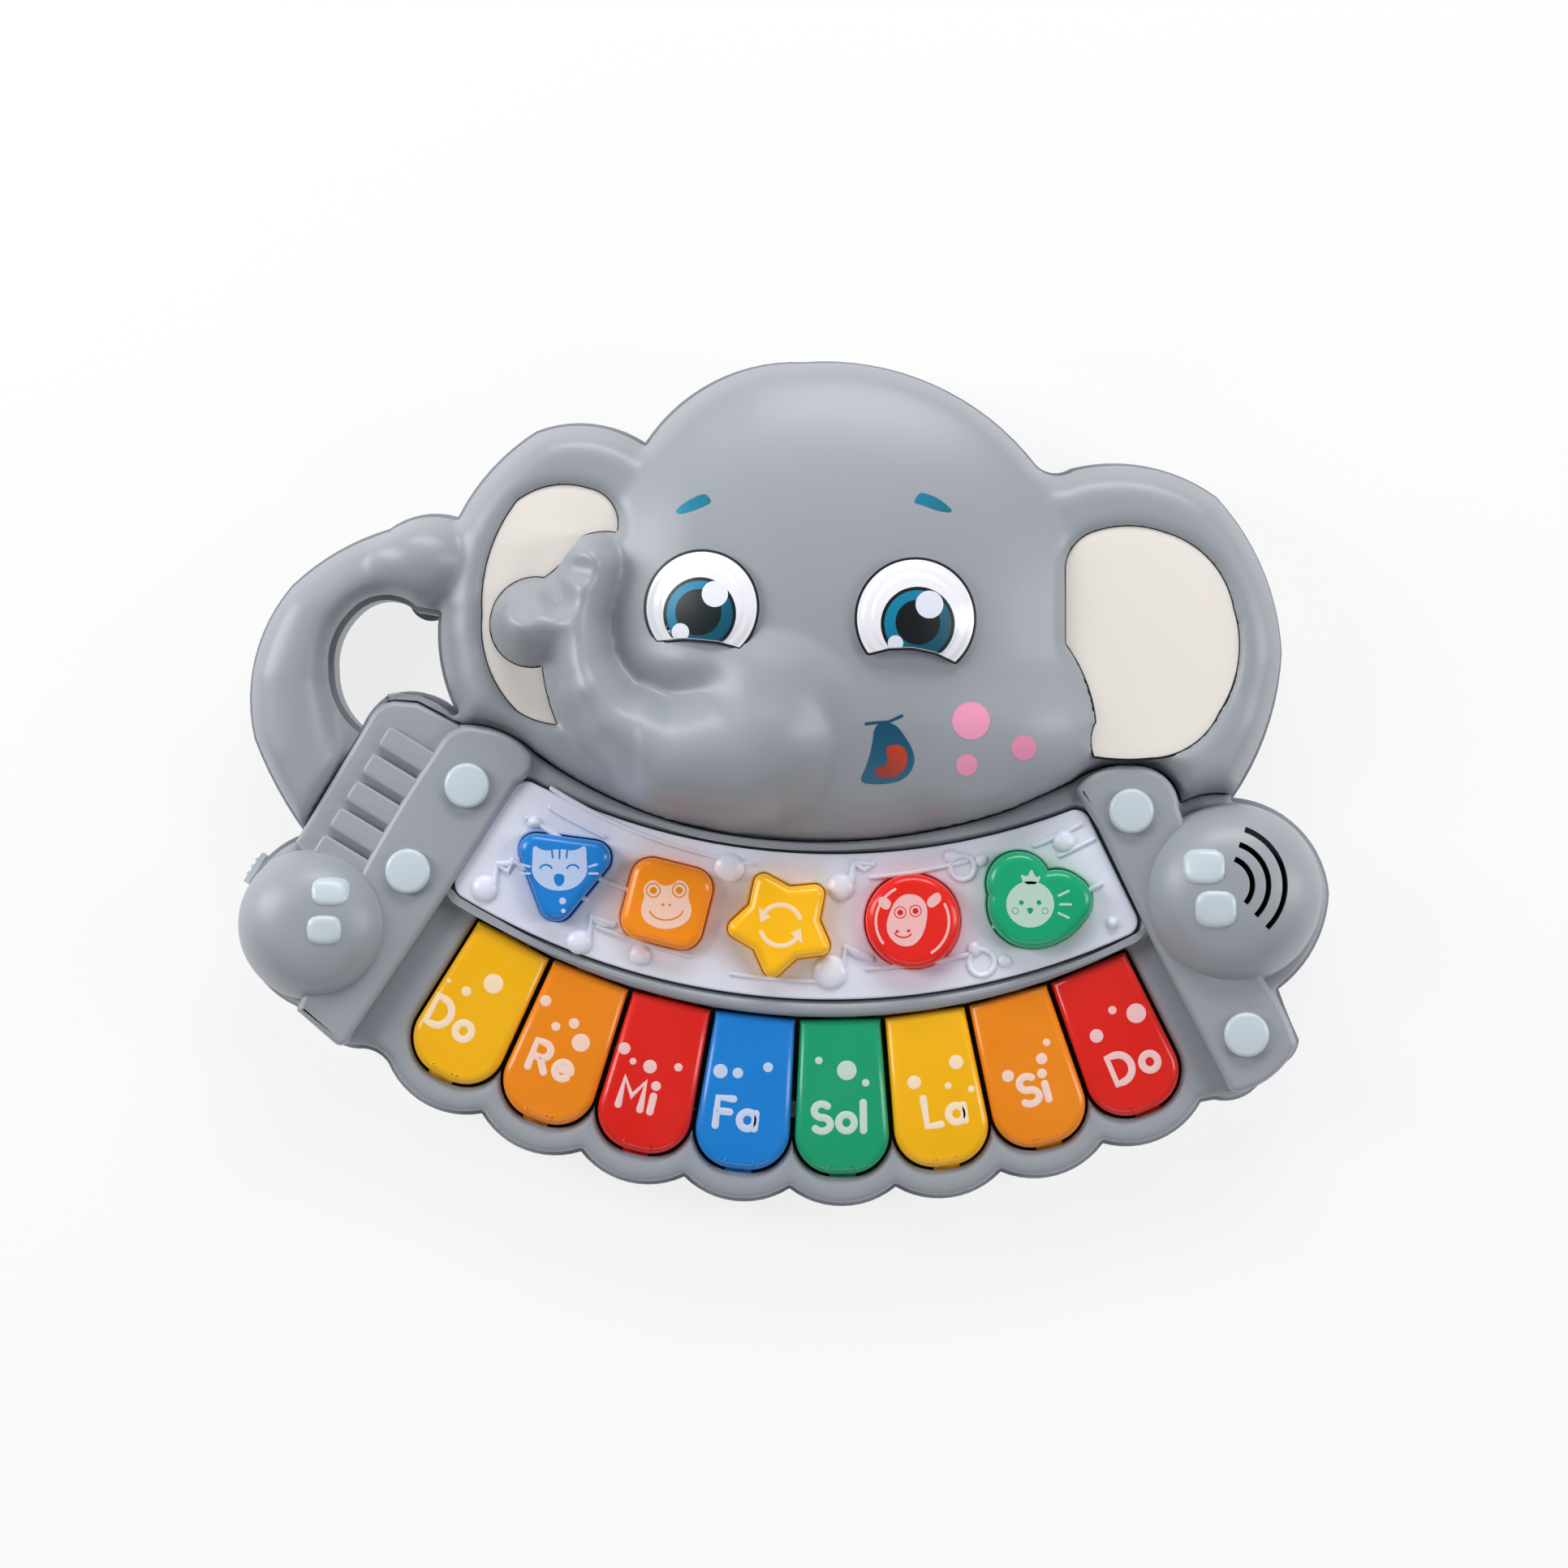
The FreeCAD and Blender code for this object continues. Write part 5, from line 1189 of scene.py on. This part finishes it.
# ---------------------------------------------------------------- keys and lettering
KEY_TOP = 24.5
KEY_SECTION = 22.8
KEY_CUT = 22.0      # the CAD key is kept below this level
KEY_CAP_LOW = 21.9  # and the rounded top starts here, just inside it
LETTER_RISE = 0.08
KEY_DOTS = (((-80.2, -52.7, 2.6), (-87.4, -54.7, 1.3), (-92, -52, 0.6)),
            ((-66.7, -57.2, 1.5), (-64, -64, 1.2), (-59.2, -63.2, 1.4), (-57.4, -68.3, 2.4)),
            ((-44.5, -69.8, 1.6), (-42.2, -73.2, 0.9), (-37.7, -74.6, 1.8), (-30.2, -74.8, 1.1)),
            ((-18.3, -75.8, 1.9), (-13.7, -76.3, 1.4), (-5.7, -74.8, 1.3)),
            ((8.7, -73, 1.0), (16.1, -75.6, 2.6), (21.1, -78.9, 1.0)),
            ((45, -73.4, 1.9), (33.9, -78.8, 1.8), (42.9, -79.7, 0.9), (49, -80.5, 0.9)),
            ((70.5, -68.2, 1.0), (69.2, -72.5, 1.5), (60.3, -77.1, 1.6)),
            ((94.2, -60.5, 2.6), (87.9, -59.7, 1.1), (83.7, -66.5, 1.8)))
WORDS = (("Do", -91, -62), ("Re", -65, -73), ("Mi", -41, -82), ("Fa", -14, -87), ("Sol", 14, -88),
         ("La", 42, -86), ("Si", 67, -80.5), ("Do", 93.5, -73.5))

KEY_SHIFT = (3.3, 3.6, 2.2, 1.4, 0.4, 0.4, -1.2, -1.2)


def bow(cx, cy, rx, ry, start, end, count=14):
    return oval(cx, cy, rx, ry, count, start, end)


# Letters as strokes on a height of 1: (strokes, closed strokes, dots, width taken).
LETTERS = {
    "D": ([], [[(0.1, 0.1), (0.1, 0.9), (0.3, 0.9)] + bow(0.3, 0.5, 0.38, 0.4, 88, -88)
               + [(0.3, 0.1)]], [], 0.80),
    "o": ([], [bow(0.33, 0.34, 0.23, 0.24, 0, 360, 20)], [], 0.66),
    "R": ([[(0.1, 0.1), (0.1, 0.9), (0.35, 0.9)] + bow(0.35, 0.68, 0.22, 0.22, 88, -88)
           + [(0.12, 0.46)], [(0.34, 0.46), (0.58, 0.1)]], [], [], 0.68),
    "e": ([[(0.12, 0.36), (0.54, 0.36)], bow(0.33, 0.34, 0.23, 0.24, 5, 318)], [], [], 0.64),
    "M": ([[(0.1, 0.1), (0.12, 0.9), (0.42, 0.42), (0.72, 0.9), (0.74, 0.1)]], [], [], 0.86),
    "i": ([[(0.1, 0.1), (0.1, 0.56)]], [], [(0.1, 0.86, 0.14)], 0.22),
    "F": ([[(0.1, 0.1), (0.1, 0.9), (0.54, 0.9)], [(0.1, 0.52), (0.47, 0.52)]], [], [], 0.60),
    "a": ([[(0.55, 0.12), (0.55, 0.56)]], [bow(0.33, 0.34, 0.23, 0.24, 0, 360, 20)], [], 0.68),
    "S": ([bow(0.34, 0.7, 0.22, 0.2, 40, 262) + bow(0.34, 0.3, 0.25, 0.2, 82, -142)], [], [], 0.66),
    "l": ([[(0.1, 0.1), (0.1, 0.92)]], [], [], 0.22),
    "L": ([[(0.1, 0.9), (0.1, 0.1), (0.5, 0.1)]], [], [], 0.58),
}


def word(text, x, y, turn, height, thick):
    """Rounded lettering centred on a place and turned, in one bmesh."""
    scale = height / 0.8
    gap = 0.07
    total = sum(LETTERS[letter][3] for letter in text) + gap * (len(text) - 1)
    at = -total / 2
    bm = bmesh.new()
    cos, sin = math.cos(turn), math.sin(turn)

    def placed(point):
        px, py = (point[0] + at) * scale, (point[1] - 0.5) * scale
        return (x + px * cos - py * sin, y + px * sin + py * cos)

    for letter in text:
        strokes, rings, dots, wide = LETTERS[letter]
        for line in strokes:
            added(bm, stroke([placed(p) for p in line], thick, flat=0.08))
        for line in rings:
            added(bm, stroke([placed(p) for p in line], thick, True, 0.08))
        for px, py, size in dots:
            cx, cy = placed((px, py))
            added(bm, pebble(cx, cy, size * scale, 0, LETTER_RISE))
        at += wide + gap
    return bm


def keys():
    for index, name in enumerate(KEY_NAMES):
        node, body, tint = "key_" + name, "key_" + name + "_body", KEY_TINTS[index]
        outline = section(node, KEY_SECTION)[0]
        bm = plate([outline], KEY_CAP_LOW, KEY_TOP, 2.3, 8)
        lower = cad_part(node, KEY_CUT)
        made = piece(node + "_moulding", added(bm, lower), FINISHES["key_" + tint], body)
        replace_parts(made, node)
        text, x, y = WORDS[index]
        shift = KEY_SHIFT[index]
        height = 7.4 if len(text) < 3 else 7.2
        print_bm = raised(word(text, x + shift, y, fan_turn(index), height, 1.95), KEY_TOP)
        for dx, dy, size in KEY_DOTS[index]:
            added(print_bm, pebble(dx + shift, dy, size, KEY_TOP, LETTER_RISE))
        piece(node + "_print", print_bm, PRINTS["pale_" + tint], body)


keys()


# ---------------------------------------------------------------- buttons and their pictures
BUTTON_TOP = 33.0
BUTTON_SECTION = 29.0
BUTTON_CUT = 28.1
BUTTON_CAP_LOW = 28.0


def buttons():
    for name in BUTTON_NAMES:
        node = "button_" + name
        outline = section(node, BUTTON_SECTION)[0]
        bm = plate([outline], BUTTON_CAP_LOW, BUTTON_TOP, 2.6, 8)
        lower = cad_part(node, BUTTON_CUT)
        made = piece(node + "_moulding", added(bm, lower), FINISHES[node], node + "_body")
        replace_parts(made, node)


def picture(name, fills, lines, features, feature_lines):
    """A pale one-colour picture on a button, with its features in the button's own colour."""
    bm = bmesh.new()
    for loop in fills:
        added(bm, raised(curve_mesh([loop], 0.06), BUTTON_TOP))
    for points, width, closed in lines:
        added(bm, raised(stroke(points, width, closed, 0.1), BUTTON_TOP))
    bmesh.ops.recalc_face_normals(bm, faces=bm.faces)
    piece(f"button_{name}_picture", bm, PRINTS["pale_" + name], f"button_{name}_body")
    if features or feature_lines:
        bm = bmesh.new()
        for loop in features:
            added(bm, raised(curve_mesh([loop], 0.12), BUTTON_TOP))
        for points, width, closed in feature_lines:
            added(bm, raised(stroke(points, width, closed, 0.3), BUTTON_TOP + 0.02))
        bmesh.ops.recalc_face_normals(bm, faces=bm.faces)
        piece(f"button_{name}_features", bm, PRINTS["line_" + name], f"button_{name}_body")


def pictures():
    cat = smooth_loop([(-66, -15.5), (-63.4, -17.6), (-59, -16.9), (-54.8, -17.6), (-52, -15.5),
                       (-51.9, -20), (-51.6, -23.6), (-54.4, -27), (-59, -28.2), (-63.6, -27),
                       (-66.4, -23.6), (-66.1, -20)], 2)
    picture("blue", [cat, oval(-58.2, -30.6, 0.9), oval(-58.0, -33.2, 0.6)],
            [([(-69, -21), (-66.8, -21.6)], 0.6, False), ([(-69.2, -23.4), (-66.8, -23.4)], 0.6, False),
             ([(-49.2, -21), (-51.2, -21.6)], 0.6, False), ([(-49, -23.4), (-51.2, -23.4)], 0.6, False)],
            [smooth_loop([(-60.6, -23.9), (-59.2, -23.3), (-57.6, -23.9), (-57.9, -26), (-59.1, -26.9),
                          (-60.3, -26)], 2)],
            [(oval(-62.6, -22.4, 1.6, 1.3, count=8, start=20, end=160), 0.6, False),
             (oval(-55.5, -22.4, 1.6, 1.3, count=8, start=20, end=160), 0.6, False),
             ([(-61, -17.4), (-60.8, -19.2)], 0.6, False), ([(-59, -17.2), (-59, -19.4)], 0.6, False),
             ([(-57, -17.4), (-57.2, -19.2)], 0.6, False)])
    frog = smooth_loop([(-38, -33), (-36.6, -29.6), (-37.2, -27), (-34.6, -24.6), (-32.4, -26.6),
                        (-29.6, -26.6), (-27.4, -24.6), (-24.8, -27), (-25.4, -29.6), (-24, -33),
                        (-25.6, -36.6), (-31, -38.4), (-36.4, -36.6)], 2)
    picture("orange", [frog], [],
            [oval(-34.4, -27.8, 0.9), oval(-27.6, -27.8, 0.9), oval(-31.9, -31.6, 0.35),
             oval(-30.1, -31.6, 0.35)],
            [(oval(-34.4, -27.8, 1.8, count=20), 0.45, True), (oval(-27.6, -27.8, 1.8, count=20), 0.45, True),
             (oval(-31, -32.2, 4.6, 3.4, count=14, start=200, end=340), 0.55, False)])
    sweep = 5.4
    arrows = []
    heads = []
    for first in (20, 200):
        arc = oval(-1, -37, sweep, count=14, start=first, end=first + 118)
        arrows.append((arc, 1.2, False))
        tip = math.radians(first + 152)
        base = math.radians(first + 120)
        heads.append([(-1 + (sweep + 2.1) * math.cos(base), -37 + (sweep + 2.1) * math.sin(base)),
                      (-1 + sweep * math.cos(tip), -37 + sweep * math.sin(tip)),
                      (-1 + (sweep - 2.1) * math.cos(base), -37 + (sweep - 2.1) * math.sin(base))])
    picture("yellow", heads, arrows, [], [])
    calf = smooth_loop([(29.5, -30), (32, -28.6), (35.6, -29.2), (37.6, -32), (37.4, -36), (36.2, -40),
                        (33.6, -42.6), (30, -42.4), (27.4, -40), (26.6, -37), (27.8, -33)], 2)
    left_ear = smooth_loop([(28.4, -30.6), (25, -29), (24.4, -31.6), (27.2, -33.4)], 2)
    right_ear = smooth_loop([(37, -30.4), (40.4, -27.8), (41.6, -30.4), (38.2, -33)], 2)
    picture("red", [calf, left_ear, right_ear],
            [(oval(33.6, -36, 9.6, count=18, start=-58, end=28), 0.7, False),
             (oval(33.6, -36, 9.6, count=18, start=118, end=216), 0.7, False)],
            [oval(30.4, -33.6, 0.75), oval(34.4, -33.2, 0.75), oval(29.6, -38.6, 0.4),
             oval(32.6, -38.4, 0.4)],
            [(oval(30.4, -33.6, 1.5, count=18), 0.4, True), (oval(34.4, -33.2, 1.5, count=18), 0.4, True),
             (oval(31.2, -38.4, 2.4, 1.8, count=12, start=200, end=330), 0.5, False)])
    chick = oval(64.5, -31.5, 6.3, 6.1, count=40)
    tuft = smooth_loop([(62.8, -26.2), (61.8, -23.4), (63.8, -24.4), (64.8, -21.9), (66, -24.6),
                        (67.4, -23.8), (66.6, -26.2)], 1)
    picture("green", [chick, tuft],
            [([(72, -29.2), (74.6, -28)], 0.6, False), ([(72.4, -31.5), (75.2, -31.5)], 0.6, False),
             ([(72, -33.8), (74.6, -35)], 0.6, False)],
            [oval(62.2, -31, 0.6), oval(66.8, -31, 0.6),
             smooth_loop([(63.4, -32.4), (65.6, -32.4), (64.5, -34.4)], 1)],
            [(oval(60.6, -33.2, 0.8, count=10), 0.35, True), (oval(68.4, -33.2, 0.8, count=10), 0.35, True)])


buttons()
pictures()


# ---------------------------------------------------------------- CAD pieces that stay
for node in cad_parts.values():
    for index, material in enumerate(node.data.materials):
        key = material.name.split(".")[0] if material else ""
        node.data.materials[index] = FINISHES.get(key, FINISHES["inner_black"])


# ---------------------------------------------------------------- stage, light and camera
def stage():
    bm = bmesh.new()
    bmesh.ops.create_grid(bm, x_segments=8, y_segments=8, size=3.0)
    mesh = bpy.data.meshes.new("floor")
    bm.to_mesh(mesh)
    bm.free()
    floor = Finish("floor_paper")
    cloud = floor.noise(3, 2.0)
    floor.set("Base Color", floor.mix(cloud, rgb(112, 112, 112), rgb(116, 116, 116)))
    floor.set("Emission Color", floor.mix(cloud, (0.99, 0.99, 0.99), (1.0, 1.0, 1.0)))
    floor.shader.inputs["Emission Strength"].default_value = 0.79
    floor.set("Roughness", 0.9 + cloud * 0.05)
    mesh.materials.append(floor.material)
    ground = bpy.data.objects.new("floor", mesh)
    bpy.context.scene.collection.objects.link(ground)


def lamp(name, place, aim, size, power):
    light = bpy.data.lights.new(name, "AREA")
    light.shape = "RECTANGLE"
    light.size, light.size_y = size
    light.energy = power
    made = bpy.data.objects.new(name, light)
    bpy.context.scene.collection.objects.link(made)
    made.location = place
    made.rotation_euler = (Vector(aim) - Vector(place)).to_track_quat("-Z", "Y").to_euler()


def lights():
    world = bpy.data.worlds.new("studio")
    world.use_nodes = True
    world.node_tree.nodes["Background"].inputs["Color"].default_value = (0.95, 0.97, 1.0, 1.0)
    world.node_tree.nodes["Background"].inputs["Strength"].default_value = 0.16
    bpy.context.scene.world = world
    lamp("left_softbox", (-0.85, 0.3, 0.5), (0, 0.02, 0.02), (0.35, 0.8), 6.9)
    lamp("top_softbox", (0.1, 0.9, 0.55), (0, 0, 0.02), (0.9, 0.3), 7.2)
    lamp("right_softbox", (0.85, 0.05, 0.5), (0, 0, 0.02), (0.3, 0.7), 3.8)
    lamp("front_softbox", (0.0, -0.85, 0.6), (0, 0, 0.02), (1.0, 0.4), 1.8)


def camera():
    distance = 1.2
    seen = 0.416
    data = bpy.data.cameras.new("camera")
    data.sensor_width = 36.0
    data.lens = 36.0 * distance / seen
    made = bpy.data.objects.new("camera", data)
    bpy.context.scene.collection.objects.link(made)
    made.location = (-0.0001, 0.0001, distance + 0.02)
    bpy.context.scene.camera = made


stage()
lights()
camera()
bpy.context.scene.view_settings.view_transform = "Standard"
